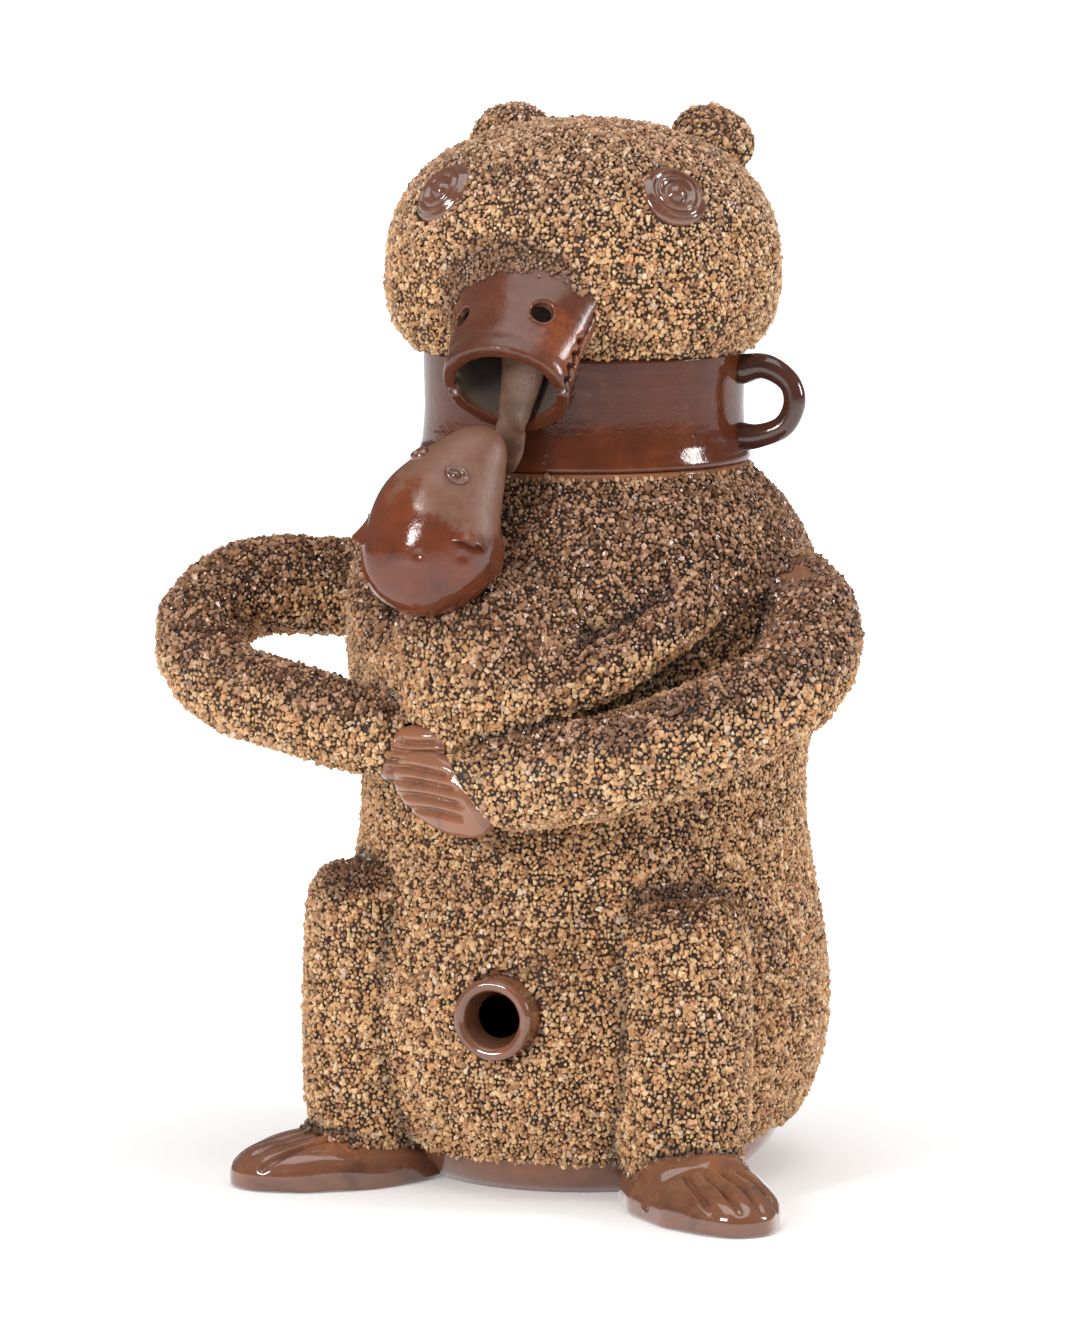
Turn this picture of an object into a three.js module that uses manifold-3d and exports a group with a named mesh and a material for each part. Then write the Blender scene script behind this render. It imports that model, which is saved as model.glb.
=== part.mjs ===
// Stoneware bear jug: a hollow seated bear that hugs a dog, under a lift-off head that is also a cup.
// Millimetres, +Z up. The bear faces -Y, its left hand is at +X, and the origin is the middle of the
// foot ring that it stands on.
import * as THREE from "three";
import { mergeVertices } from "three/addons/utils/BufferGeometryUtils.js";
import Module from "manifold-3d";

// The thrown pot that is the bear's trunk
const footRadius = 65;
const hipRadius = 97;
const hipHeight = 70;
const waistRadius = 87;
const waistHeight = 152;
const chestRadius = 93;
const chestHeight = 212;
const seatHeight = 283;
const ledgeRadius = 65.5;
const ledgeDrop = 4; // the smooth band under the cover, above the coat
const potWall = 7;
const floorThickness = 9;

// The neck that stands inside the cover
const neckRadius = 57.5;
const neckWall = 5;
const neckHeight = 18;

// The bung hole and its collar
const bungHeight = 74.5;
const bungBore = 10.8;
const bungCollarWall = 5.2;
const bungCollarReach = 8.5; // how far it stands off the pot

// The cover: a thrown cup with the bear's head on its closed end
const coverClearance = 1.8;
const cupWall = 4.8;
const cupHeight = 44;
const cupRimSwell = 1.8;
const cupRimHeight = 9;
const cupWaist = 0.9; // how far the wall draws in above its rim
const coverTurn = 6; // degrees that the loose head is turned on its seat
const headWidth = 154;
const headDepth = 146;
const headHeight = 89.5;
const headWidestAt = 0.36; // share of its height
const headWall = 7;
const jowlSwell = 4;
const jowlSpread = 26;

// The cup's handle
const handleAngle = 90; // from the front, to the bear's left
const handleThickness = 8.8;
const handleReach = 25.5;
const handleTopDrop = 7; // below the cup wall's top
const handleFootRise = 10; // above its rim

// Face
const earWidth = 36;
const earThickness = 19;
const earHeight = 27;
const earAngle = 138;
const earRise = 0.76; // share of the head's height
const eyeRadius = 11;
const eyeRelief = 3.2;
const eyeAngle = 43;
const eyeRise = 0.69; // share of the head's height

// Muzzle: two half tubes that close on a toothed seam
const muzzleRootWidth = 63;
const muzzleLipWidth = 49;
const muzzleWall = 4;
const muzzleRootHeight = 66; // of the jaw line above the seat, at the head
const muzzleLipHeight = 34.5;
const muzzleReach = 24; // of the lip's corners beyond the cup wall
const muzzleArch = 16.5;
const muzzleRootArch = 23;
const muzzleOverhang = 14;
const muzzleTurn = -0.3; // degrees that it points off the body's front
const muzzleRoll = 4; // degrees that its left side is raised
const chinDrop = 17;
const chinRootDrop = 21;
const chinSetback = 15;
const toothPitch = 5.8;
const toothHeight = 2.4;
const nostrilRadius = 4.2;
const nostrilAngle = 40; // degrees each side of their middle
const nostrilSwing = -4; // degrees of that middle off the ridge
const tongueWidth = 13;
const tongueThickness = 4.4;
const tongueHang = 16;

// Arms, as rolls of clay
const rightArmRadius = 17.4;
const leftArmRadius = 19;
const rightShoulderHeight = 229;
const leftShoulderHeight = 233;
const claspUnderDog = 39; // from the dog's middle down to the left forearm's end
const cuffDrop = 7; // of the left wrist's cut below the clasp
const leftPawDrop = 9; // below the clasp
const rightPawRise = 5; // above it

// Paws
const pawLength = 42;
const pawWidth = 31;
const pawThickness = 11;
const pawFingers = 5;
const cuffSlope = 38; // degrees that the left wrist is cut off the upright

// Hind legs and feet
const legHalfWidth = 24.5;
const legDepth = 24;
const legProud = 17; // how far a leg stands off the hips
const rightLeg = { angle: 50, knee: 124, footAngle: 48, reach: 149 };
const leftLeg = { angle: 45, knee: 118, footAngle: 43, reach: 166 };
const footHeel = 62; // radius from the pot's axis
const footWidth = 52;
const footThickness = 22;
const footSideHeight = 7;
const footToes = 5;
const grooveRadius = 1.6; // the tool that parts toes and fingers

// The dog
const dogHeight = 211; // of its middle
const dogBodyWidth = 88;
const dogBodyHeight = 80;
const dogBodyProud = 26;
const dogChinAside = 18; // from the dog's middle towards the bear's right
const dogChinForward = 29;
const dogChinRise = 21.5;
const dogHeadRadius = 28;
const dogHeadLength = 70;
const dogNoseRadius = 8.2;
const dogEyeRadius = 4.2;
const dogEyeRelief = 1.2;
const dogFaceTurn = -14; // degrees that its face is turned to the bear's right
const dogEarLength = 18;
const dogEarWidth = 17;
const dogEarSkew = 0.06; // share of the head's length by which its left ear is nearer the nose
const dogLegRadius = 9;

// Clearances and mesh steps
const seam = 0.3; // the slip line between two pieces that are luted together
const roundSteps = 32;
const rollSides = 14;
const rollSteps = 16;

const glaze = new THREE.MeshStandardMaterial({ color: 0x6b3d28, roughness: 0.25, metalness: 0 });
const darkGlaze = new THREE.MeshStandardMaterial({ color: 0x5a3423, roughness: 0.3, metalness: 0 });
const grog = new THREE.MeshStandardMaterial({ color: 0x8a6748, roughness: 0.8, metalness: 0 });
const unglazed = new THREE.MeshStandardMaterial({ color: 0x7a6558, roughness: 0.7, metalness: 0 });

const wasm = await Module();
wasm.setup();

const radians = THREE.MathUtils.degToRad;
const smooth = (x, low, high) => THREE.MathUtils.smoothstep(x, low, high);
const mix = THREE.MathUtils.lerp;
const point = (x, y, z) => new THREE.Vector3(x, y, z);

// A place round the pot's axis: the angle runs from the front towards the bear's left.
function around(angle, radius, height) {
  return point(radius * Math.sin(radians(angle)), -radius * Math.cos(radians(angle)), height);
}

// Solids

// Turns the faces outwards, and leaves only merged positions.
function outward(geometry) {
  const bare = geometry.clone();
  for (const name of Object.keys(bare.attributes)) if (name !== "position") bare.deleteAttribute(name);
  const merged = mergeVertices(bare, 1e-4);
  const place = merged.attributes.position;
  const corners = Array.from(merged.index.array);
  const [a, b, c] = [point(0, 0, 0), point(0, 0, 0), point(0, 0, 0)];
  let volume = 0;
  for (let i = 0; i < corners.length; i += 3) {
    a.fromBufferAttribute(place, corners[i]);
    b.fromBufferAttribute(place, corners[i + 1]);
    c.fromBufferAttribute(place, corners[i + 2]);
    volume += a.dot(b.cross(c));
  }
  if (volume < 0) {
    for (let i = 0; i < corners.length; i += 3) {
      [corners[i], corners[i + 1]] = [corners[i + 1], corners[i]];
    }
  }
  merged.setIndex(corners);
  return merged;
}

function solidOf(geometry) {
  const closed = outward(geometry);
  return new wasm.Manifold(
    new wasm.Mesh({
      numProp: 3,
      vertProperties: new Float32Array(closed.attributes.position.array),
      triVerts: new Uint32Array(closed.index.array),
    }),
  );
}

function geometryOf(solid) {
  const mesh = solid.getMesh();
  const geometry = new THREE.BufferGeometry();
  geometry.setAttribute("position", new THREE.BufferAttribute(new Float32Array(mesh.vertProperties), 3));
  geometry.setIndex(new THREE.BufferAttribute(new Uint32Array(mesh.triVerts), 1));
  const flat = geometry.toNonIndexed();
  flat.computeVertexNormals();
  return flat;
}

// The largest of the bodies that a cut leaves.
function mainBody(solid) {
  const bodies = solid.decompose();
  return bodies.reduce((most, body) => (body.volume() > most.volume() ? body : most), bodies[0]);
}

function cut(solid, ...cutters) {
  return mainBody(cutters.reduce((left, cutter) => left.subtract(cutter), solid));
}

// A profile of [radius, height] pairs turned round the upright axis.
function turned(profile, steps = roundSteps) {
  const outline = profile.map(([radius, height]) => new THREE.Vector2(Math.max(radius, 0), height));
  return new THREE.LatheGeometry(outline, steps).rotateX(Math.PI / 2);
}

// Moves each vertex by a function of its place.
function reshaped(geometry, move) {
  const place = geometry.attributes.position;
  const at = point(0, 0, 0);
  for (let i = 0; i < place.count; i += 1) {
    at.fromBufferAttribute(place, i);
    const moved = move(at);
    place.setXYZ(i, moved.x, moved.y, moved.z);
  }
  return geometry;
}

// A roll of clay along a smooth line: a unit sphere whose rings are carried along the curve.
// radii runs along the roll, flat squeezes it across `up`, and bluntness squares off its ends.
function roll(points, radii, options = {}) {
  const { up = point(0, 0, 1), flat = 1, bluntness = 2, grow = 0 } = options;
  const { sides = rollSides, steps = rollSteps } = options;
  const line = new THREE.CatmullRomCurve3(points, false, "centripetal");
  const length = line.getLength();
  const radiusAt = (share) => {
    const spot = share * (radii.length - 1);
    const first = Math.min(Math.floor(spot), radii.length - 2);
    return mix(radii[first], radii[first + 1], smooth(spot - first, 0, 1));
  };
  const roundEnd = (away, radius) =>
    away >= radius ? 1 : Math.pow(1 - Math.pow(1 - away / radius, bluntness), 1 / bluntness);
  return reshaped(new THREE.SphereGeometry(1, sides, steps), (at) => {
    const turn = Math.acos(THREE.MathUtils.clamp(at.y, -1, 1));
    const share = (1 - Math.cos(turn)) / 2;
    const spin = Math.atan2(at.z, at.x);
    const centre = line.getPointAt(share);
    const along = line.getTangentAt(share);
    const across = new THREE.Vector3().crossVectors(along, up).normalize();
    const over = new THREE.Vector3().crossVectors(across, along).normalize();
    const ends = roundEnd(share * length, radiusAt(0)) * roundEnd((1 - share) * length, radiusAt(1));
    const poles = Math.abs(at.y) > 1 - 1e-6 ? 0 : 1;
    const radius = radiusAt(share) * ends * poles + grow * poles;
    centre.addScaledVector(along, grow * -at.y);
    centre.addScaledVector(across, radius * Math.cos(spin));
    return centre.addScaledVector(over, radius * flat * Math.sin(spin));
  });
}

// A slab of clay between two sheets, each a function of u and v from 0 to 1.
function slab(outer, inner, acrossSteps, alongSteps) {
  const corners = [];
  const grid = (sheet) => {
    const rows = [];
    for (let j = 0; j <= alongSteps; j += 1) {
      const row = [];
      for (let i = 0; i <= acrossSteps; i += 1) {
        row.push(corners.length);
        corners.push(sheet(i / acrossSteps, j / alongSteps));
      }
      rows.push(row);
    }
    return rows;
  };
  const front = grid(outer);
  const back = grid(inner);
  const faces = [];
  const quad = (a, b, c, d) => faces.push(a, b, c, a, c, d);
  for (let j = 0; j < alongSteps; j += 1) {
    for (let i = 0; i < acrossSteps; i += 1) {
      quad(front[j][i], front[j][i + 1], front[j + 1][i + 1], front[j + 1][i]);
      quad(back[j][i], back[j + 1][i], back[j + 1][i + 1], back[j][i + 1]);
    }
    quad(front[j][0], front[j + 1][0], back[j + 1][0], back[j][0]);
    quad(front[j + 1][acrossSteps], front[j][acrossSteps], back[j][acrossSteps], back[j + 1][acrossSteps]);
  }
  for (let i = 0; i < acrossSteps; i += 1) {
    quad(front[0][i + 1], front[0][i], back[0][i], back[0][i + 1]);
    quad(front[alongSteps][i], front[alongSteps][i + 1], back[alongSteps][i + 1], back[alongSteps][i]);
  }
  const geometry = new THREE.BufferGeometry();
  geometry.setAttribute("position", new THREE.Float32BufferAttribute(corners.flatMap((c) => c.toArray()), 3));
  geometry.setIndex(faces);
  return geometry;
}

// A paw or foot is a domed slab with a flat sole, its toes towards +Y. A place on it is given by x
// and y in the unit circle and a level: 0 on the sole, 1 where the dome springs, 2 at its crown.
function padPlace(pad, x, y, level) {
  const taper = mix(1, pad.heelShare, smooth(-y, -0.3, 1));
  const crown = mix(1, pad.toeShare, smooth(y, -0.5, 1));
  const across = x * taper * pad.width * 0.5;
  const dome = (pad.thickness - pad.sideHeight) * crown * Math.max(level - 1, 0);
  return point(across, y * pad.length * 0.5 + across * pad.slant, Math.min(level, 1) * pad.sideHeight + dome);
}

function padSolid(pad) {
  const profile = [
    [0, 0],
    [0.95, 0],
    [1, 0.3],
    [1, 1],
  ];
  const domeSteps = 4;
  for (let i = 1; i <= domeSteps; i += 1) {
    const lift = (i / domeSteps) * (Math.PI / 2);
    profile.push([i === domeSteps ? 0 : Math.pow(Math.cos(lift), 0.7), 1 + Math.sin(lift)]);
  }
  const slabOfClay = solidOf(reshaped(turned(profile, 24), (at) => padPlace(pad, at.x, at.y, at.z)));
  return padGrooves(pad).reduce((left, groove) => left.subtract(solidOf(groove)), slabOfClay);
}

// Lines drawn with a round tool from the instep over the ends of the toes.
function padGrooves(pad) {
  return Array.from({ length: pad.toes - 1 }, (_, i) => {
    const fan = ((i + 1) / pad.toes) * 2 - 1;
    const line = [0, 0.4, 0.75, 1].map((way) => {
      const out = mix(pad.grooveFrom, 0.93, way);
      const x = fan * mix(pad.grooveSpread, 0.86, way);
      const y = out * Math.sqrt(1 - fan * fan * 0.75);
      const from = Math.min(Math.hypot(x, y), 0.99);
      return padPlace(pad, x, y, 1 + Math.sqrt(1 - Math.pow(from, 2.5)) + (way > 0 ? 0 : 0.15));
    });
    line.push(point(line[3].x * 1.04, line[3].y * 1.08, pad.sideHeight * 0.45));
    return roll(line, [0.6, 1, 1.1, 1.1].map((share) => share * grooveRadius), { sides: 6, steps: 7 });
  });
}

// The pot

function potRadius(height) {
  if (height < hipHeight) return hipRadius - (hipRadius - footRadius) * Math.pow(1 - height / hipHeight, 2.4);
  if (height < waistHeight) return mix(hipRadius, waistRadius, smooth(height, hipHeight, waistHeight));
  if (height < chestHeight) return mix(waistRadius, chestRadius, smooth(height, waistHeight, chestHeight));
  const rise = Math.min((height - chestHeight) / (seatHeight - ledgeDrop - chestHeight), 1);
  return ledgeRadius + (chestRadius - ledgeRadius) * (1 - Math.pow(rise, 3.1));
}

function heights(low, high, steps) {
  return Array.from({ length: steps + 1 }, (_, i) => mix(low, high, i / steps));
}

const onPot = (angle, standoff, height) => around(angle, potRadius(height) + standoff, height);

function potOutline(grow) {
  const rings = [...heights(0, seatHeight - ledgeDrop, 18), seatHeight];
  return rings.map((height) => [potRadius(height) + grow, height]);
}

// The pot's outer form, filled, which cuts whatever is luted to it.
function potForm(grow) {
  const outline = potOutline(grow);
  const foot = [[0, -grow], [outline[0][0], -grow]];
  const top = [[ledgeRadius + grow, seatHeight + grow], [0, seatHeight + grow]];
  return solidOf(turned([...foot, ...outline, ...top]));
}

function thrownPot() {
  const neckBore = neckRadius - neckWall;
  const underSeat = seatHeight - potWall;
  const neckTop = seatHeight + neckHeight;
  const bevel = neckWall / 3;
  const inner = heights(floorThickness, underSeat, 9)
    .map((height) => [Math.max(potRadius(height + potWall * 0.6) - potWall, neckBore), height])
    .reverse();
  const neck = [
    [neckRadius, seatHeight],
    [neckRadius, neckTop - bevel],
    [neckRadius - bevel, neckTop],
    [neckBore + bevel, neckTop],
    [neckBore, neckTop - bevel],
    [neckBore, underSeat + bevel],
  ];
  const profile = [[0, 0], ...potOutline(0), ...neck, ...inner, [0, floorThickness]];
  return solidOf(turned(profile)).subtract(bungDrill());
}

// A round rod from the middle of the pot out through the bung hole.
function bungDrill() {
  const reach = hipRadius + bungCollarReach * 2;
  const rod = new THREE.CylinderGeometry(bungBore, bungBore, reach, 24).translate(0, -reach / 2, 0);
  return solidOf(rod.translate(0, 0, bungHeight));
}

// Its front is a flat ring between a rounded lip and the bore.
function bungCollar() {
  const outside = bungBore + bungCollarWall;
  const root = potRadius(bungHeight) - potWall;
  const front = potRadius(bungHeight) + bungCollarReach;
  const lip = bungCollarWall * 0.42;
  const ring = [
    [bungBore, root],
    [outside + 1.6, root],
    [outside + 0.6, front - bungCollarReach * 0.7],
    [outside - 0.5, front - bungCollarReach * 0.5],
    [outside, front - lip],
    [outside - lip * 0.3, front - lip * 0.3],
    [outside - lip, front],
    [bungBore + lip * 0.8, front],
    [bungBore, front - lip],
    [bungBore, root],
  ];
  const shape = turned(ring, 24).rotateX(Math.PI / 2).translate(0, 0, bungHeight);
  return cut(solidOf(shape), potForm(seam));
}

// The cover

const cupRadius = neckRadius + coverClearance + cupWall;
const cupTop = seatHeight + cupHeight;
const headTop = cupTop + headHeight;

// The head as turned: its radius at a height, as a share of its widest.
function headShare(height) {
  const rise = THREE.MathUtils.clamp((height - cupTop) / headHeight, 0, 1);
  if (rise < headWidestAt) {
    const root = cupRadius / (headWidth / 2);
    return root + (1 - root) * Math.sqrt(1 - Math.pow(1 - rise / headWidestAt, 2.4));
  }
  return Math.pow(1 - Math.pow((rise - headWidestAt) / (1 - headWidestAt), 2.5), 1 / 2.1);
}

// The jowls, pushed out from inside each side of the muzzle, and the hollow between brow and cheek.
function headSwell(angle, height) {
  const lump = (atAngle, atHeight, wide) => {
    const aside = radians(angle - atAngle) * (headWidth / 2);
    return Math.exp(-(aside * aside + (height - atHeight) * (height - atHeight)) / (wide * wide));
  };
  const jowlHeight = cupTop + headHeight * 0.22;
  const jowls = lump(52, jowlHeight, jowlSpread) + lump(-52, jowlHeight, jowlSpread);
  const clefts = lump(28, jowlHeight, jowlSpread / 2) + lump(-28, jowlHeight, jowlSpread / 2);
  return jowlSwell * (jowls - clefts * 0.7);
}

// Out from the head's axis at an angle from its own front, before the cover is turned on its seat.
function onHead(angle, standoff, height) {
  const share = headShare(height);
  const swell = headSwell(angle, height) * Math.min(share * 1.5, 1) + standoff;
  const spot = around(angle, 1, height);
  return point(
    spot.x * ((headWidth / 2) * share + swell),
    spot.y * ((headDepth / 2) * share + swell),
    height,
  );
}

// The head's rings, closer together towards the crown.
const headRings = Array.from({ length: 12 }, (_, i) =>
  cupTop + Math.max(seam, headHeight * Math.sin((i / 12) * (Math.PI / 2))));

// Turns rings on the head's own form. Each is a height and a depth under the surface, and a ring
// with no depth is a point on the axis.
function headTurned(rings) {
  const geometry = turned(rings.map(({ depth }, i) => [depth === undefined ? 0 : 1, i]));
  return reshaped(geometry, (at) => {
    const { height, depth, form = height } = rings[Math.round(at.z)];
    if (depth === undefined) return point(0, 0, height);
    const spot = onHead(THREE.MathUtils.radToDeg(Math.atan2(at.x, -at.y)), -depth, form);
    return spot.setZ(height);
  });
}

function headForm(grow) {
  const under = headRings[0] - grow;
  const rings = headRings.map((height) => ({ height, depth: -grow }));
  const foot = { height: under, depth: -grow, form: headRings[0] };
  return solidOf(headTurned([{ height: under }, foot, ...rings, { height: headTop + grow }]));
}

function headDome() {
  const outer = headRings.map((height) => ({ height, depth: 0 }));
  const inner = Array.from({ length: 6 }, (_, i) => {
    const rise = Math.sin((i / 6) * (Math.PI / 2));
    return { height: headRings[0] + (headHeight - headWall) * rise, depth: headWall };
  });
  const crown = { height: headRings[0] + headHeight - headWall };
  return solidOf(headTurned([crown, ...inner.reverse(), ...outer, { height: headTop }]));
}

function cupWallRing() {
  const bore = cupRadius - cupWall;
  const rim = seatHeight + seam;
  const bead = cupRadius + cupRimSwell;
  const profile = [
    [bore, rim + 1],
    [bore + 1, rim],
    [bead - 1, rim],
    [bead, rim + 1.2],
    [mix(bead, cupRadius, 0.6), rim + cupRimHeight * 0.45],
    [cupRadius - cupWaist * 0.3, rim + cupRimHeight],
    [cupRadius - cupWaist, rim + cupHeight * 0.45],
    [cupRadius - cupWaist * 0.6, cupTop],
    [bore, cupTop],
    [bore, rim + 1],
  ];
  return solidOf(turned(profile));
}

// The cup wall's outer form, filled, which cuts the handle and the jaws.
function cupForm(grow) {
  const bead = cupRadius + cupRimSwell + grow;
  const wall = cupRadius + grow;
  const above = seatHeight + cupRimHeight;
  const rim = [[0, seatHeight], [bead, seatHeight], [bead, above]];
  const side = [[wall, above + 1], [wall, cupTop + 1], [0, cupTop + 1]];
  return solidOf(turned([...rim, ...side]));
}

function cupHandle() {
  const low = seatHeight + handleFootRise;
  const high = cupTop - handleTopDrop;
  const out = cupRadius + handleReach - handleThickness / 2;
  const middle = mix(low, high, 0.5);
  const line = [
    around(handleAngle, cupRadius - cupWall, high - 1),
    around(handleAngle, cupRadius + handleReach * 0.34, high + 1),
    around(handleAngle, mix(cupRadius, out, 0.9), mix(middle, high, 0.62)),
    around(handleAngle, out, middle),
    around(handleAngle, mix(cupRadius, out, 0.8), mix(middle, low, 0.66)),
    around(handleAngle, cupRadius + handleReach * 0.26, low + 0.5),
    around(handleAngle, cupRadius - cupWall, low),
  ];
  const half = handleThickness / 2;
  const shape = roll(line, [half * 1.4, half * 1.15, half, half * 0.96, half, half * 1.05, half * 1.3], {
    up: around(handleAngle + 90, 1, 0),
    sides: 12,
    steps: 20,
  });
  return cut(solidOf(shape), cupForm(seam), headForm(seam));
}

// Turns a shape that faces +Z so that it sits at a place and faces out along a direction.
function facing(geometry, place, out, upward = point(0, 0, 1)) {
  const across = new THREE.Vector3().crossVectors(upward, out).normalize();
  const over = new THREE.Vector3().crossVectors(out, across).normalize();
  const frame = new THREE.Matrix4().makeBasis(across, over, out.clone().normalize()).setPosition(place);
  return geometry.applyMatrix4(frame);
}

function headNormal(angle, height) {
  const step = 2;
  const side = onHead(angle + step, 0, height).sub(onHead(angle - step, 0, height));
  const rise = onHead(angle, 0, height + step).sub(onHead(angle, 0, height - step));
  return side.cross(rise).normalize();
}

// A pupil inside two raised rings.
function bearEye(side) {
  const height = cupTop + headHeight * eyeRise;
  const angle = side * eyeAngle;
  const relief = [
    [0, 1],
    [0.17, 0.92],
    [0.33, 0.45],
    [0.42, 0.42],
    [0.55, 0.8],
    [0.66, 0.46],
    [0.74, 0.4],
    [0.86, 0.62],
    [1, 0.08],
  ];
  const front = relief.map(([out, rise]) => [out * eyeRadius, eyeRelief * rise]);
  const profile = [...front, [eyeRadius, -eyeRelief * 1.6], [0, -eyeRelief * 1.6]];
  const shape = facing(turned(profile, 20), onHead(angle, 0, height), headNormal(angle, height));
  return cut(solidOf(shape), headForm(seam));
}

function bearEar(side) {
  const height = cupTop + headHeight * earRise;
  const angle = side * earAngle;
  const root = onHead(angle, -earThickness * 0.45, height);
  const lean = around(angle, 0.55, 1).normalize();
  const tip = root.clone().addScaledVector(lean, earHeight);
  const shape = roll([root, root.clone().lerp(tip, 0.5), tip], [earWidth / 2, earWidth / 2, earWidth / 2], {
    up: around(0, 1, 0),
    flat: earThickness / earWidth,
    bluntness: 2.2,
    sides: 12,
    steps: 8,
  });
  return cut(solidOf(shape), headForm(seam));
}

// The jaw line runs from the hinge on the head down to the lip's corner. Each jaw is half an
// ellipse from one side's line to the other's: above it for the snout, below it for the chin.
const jawRoot = point(0, -(cupRadius + 1), seatHeight + muzzleRootHeight);
const jawLip = point(0, -(cupRadius + muzzleReach), seatHeight + muzzleLipHeight);
const jawLength = jawRoot.distanceTo(jawLip);
const jawAlong = jawLip.clone().sub(jawRoot).normalize();
const jawUp = point(0, jawAlong.z, -jawAlong.y);
const muzzleHalf = (along) => mix(muzzleRootWidth, muzzleLipWidth, Math.pow(along, 0.8)) / 2;

// The lip's edge is rounded by drawing both sheets in towards the middle of the wall.
function lipInset(inset, along) {
  const middle = muzzleWall / 2;
  const close = smooth(along, 0.93, 1);
  return mix(inset, middle + (inset - middle) * 0.45, close * close);
}

function jawSheet(inset, spring, rootSpring, lipSpring) {
  return (across, along) => {
    const turn = Math.PI * (1 - across);
    const bow = rootSpring.clone().lerp(lipSpring, along);
    const drawn = lipInset(inset, along);
    const spot = jawRoot.clone().lerp(jawLip, along).addScaledVector(jawUp, spring);
    spot.x = (muzzleHalf(along) - drawn) * Math.cos(turn);
    return spot.addScaledVector(bow, Math.sin(turn) * (1 - drawn / bow.length()));
  };
}

const snoutSheet = (inset) =>
  jawSheet(inset, 0, point(0, -3, muzzleRootArch), point(0, -muzzleOverhang, muzzleArch));
const chinSheet = (inset) =>
  jawSheet(inset, -seam, point(0, 1, -chinRootDrop), point(0, chinSetback, -chinDrop));

// Blocks across both jaw lines. Between them stand the teeth.
function toothNotches(spring, phase) {
  const count = Math.floor(jawLength / toothPitch);
  return Array.from({ length: count }, (_, i) => {
    const spot = jawRoot.clone().addScaledVector(jawAlong, (i + phase) * toothPitch);
    spot.addScaledVector(jawUp, spring);
    const block = new THREE.BoxGeometry(muzzleRootWidth * 1.2, toothPitch * 0.5, toothHeight * 2);
    return solidOf(facing(block, spot, jawUp, jawAlong));
  });
}

// The muzzle as it was luted on, rolled a little about the jaw line.
function rolledMuzzle(solid) {
  const place = new THREE.Matrix4().makeTranslation(jawRoot);
  const roll = new THREE.Matrix4().makeRotationAxis(jawAlong, radians(muzzleRoll));
  return solid.transform(place.clone().multiply(roll).multiply(place.clone().invert()).elements);
}

// The cover as it lies round the turned muzzle.
function coverForms() {
  return [headForm(seam), cupForm(seam)].map((form) => form.rotate([0, 0, coverTurn - muzzleTurn]));
}

function upperJaw() {
  const plain = solidOf(slab(snoutSheet(0), snoutSheet(muzzleWall), 14, 6));
  const drills = [-1, 1].map((side) => {
    const turn = radians(90 - side * nostrilAngle - nostrilSwing);
    const spot = snoutSheet(muzzleWall / 2)(1 - turn / Math.PI, 0.54);
    const out = point(Math.cos(turn), -0.55, Math.sin(turn) * 0.8).normalize();
    const rod = new THREE.CylinderGeometry(nostrilRadius, nostrilRadius * 0.85, muzzleWall * 5, 12);
    return solidOf(facing(rod.rotateX(Math.PI / 2), spot, out));
  });
  return cut(rolledMuzzle(cut(plain, ...drills, ...toothNotches(0, 1.1))), ...coverForms());
}

function lowerJaw() {
  const plain = solidOf(slab(chinSheet(0), chinSheet(muzzleWall), 14, 6));
  return cut(rolledMuzzle(cut(plain, ...toothNotches(-seam, 1.6))), ...coverForms());
}

// From the back of the mouth, over the lower lip, and down to a point in front of the cup wall.
function tongue() {
  const over = tongueThickness / 2 + seam + 0.5;
  const above = (along, lift, aside) =>
    chinSheet(muzzleWall)(0.5, along).add(point(aside, -over * 0.9, over + lift));
  const lip = chinSheet(0)(0.5, 1);
  const bend = lip.clone().add(point(-2, -over - 1.4, 2));
  const line = [
    above(0.1, 13, 3),
    above(0.45, 7, 2),
    above(0.8, 2, 1),
    above(1, 0.4, -0.5),
    bend,
    bend.clone().add(point(-2, 0.6, -tongueHang * 0.6)),
    bend.clone().add(point(-4, 1.4, -tongueHang)),
  ];
  const half = tongueWidth / 2;
  const strap = roll(line, [half * 0.9, half * 1.05, half * 1.05, half, half * 0.66, half * 0.3], {
    up: point(0, -1, 1),
    flat: tongueThickness / tongueWidth,
    bluntness: 3,
    sides: 12,
    steps: 18,
  });
  const jaw = solidOf(slab(chinSheet(-seam), chinSheet(muzzleWall + seam), 14, 6));
  return cut(rolledMuzzle(cut(solidOf(strap), jaw)), ...coverForms());
}

// Arms, paws, legs and feet

const dogMiddle = onPot(-4, dogBodyProud - dogBodyWidth / 2, dogHeight);
const claspHeight = dogHeight - claspUnderDog;

// Each arm's middle line, from inside the shoulder, out, and round to the paw. The second number is
// how far it stands off the pot, in arm radii, and the third is its share of the drop to the clasp.
function armPath(rootHeight, radius, stations) {
  return stations.map(([angle, standoff, drop]) =>
    onPot(angle, standoff * radius, mix(rootHeight, claspHeight, drop)));
}

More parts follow.
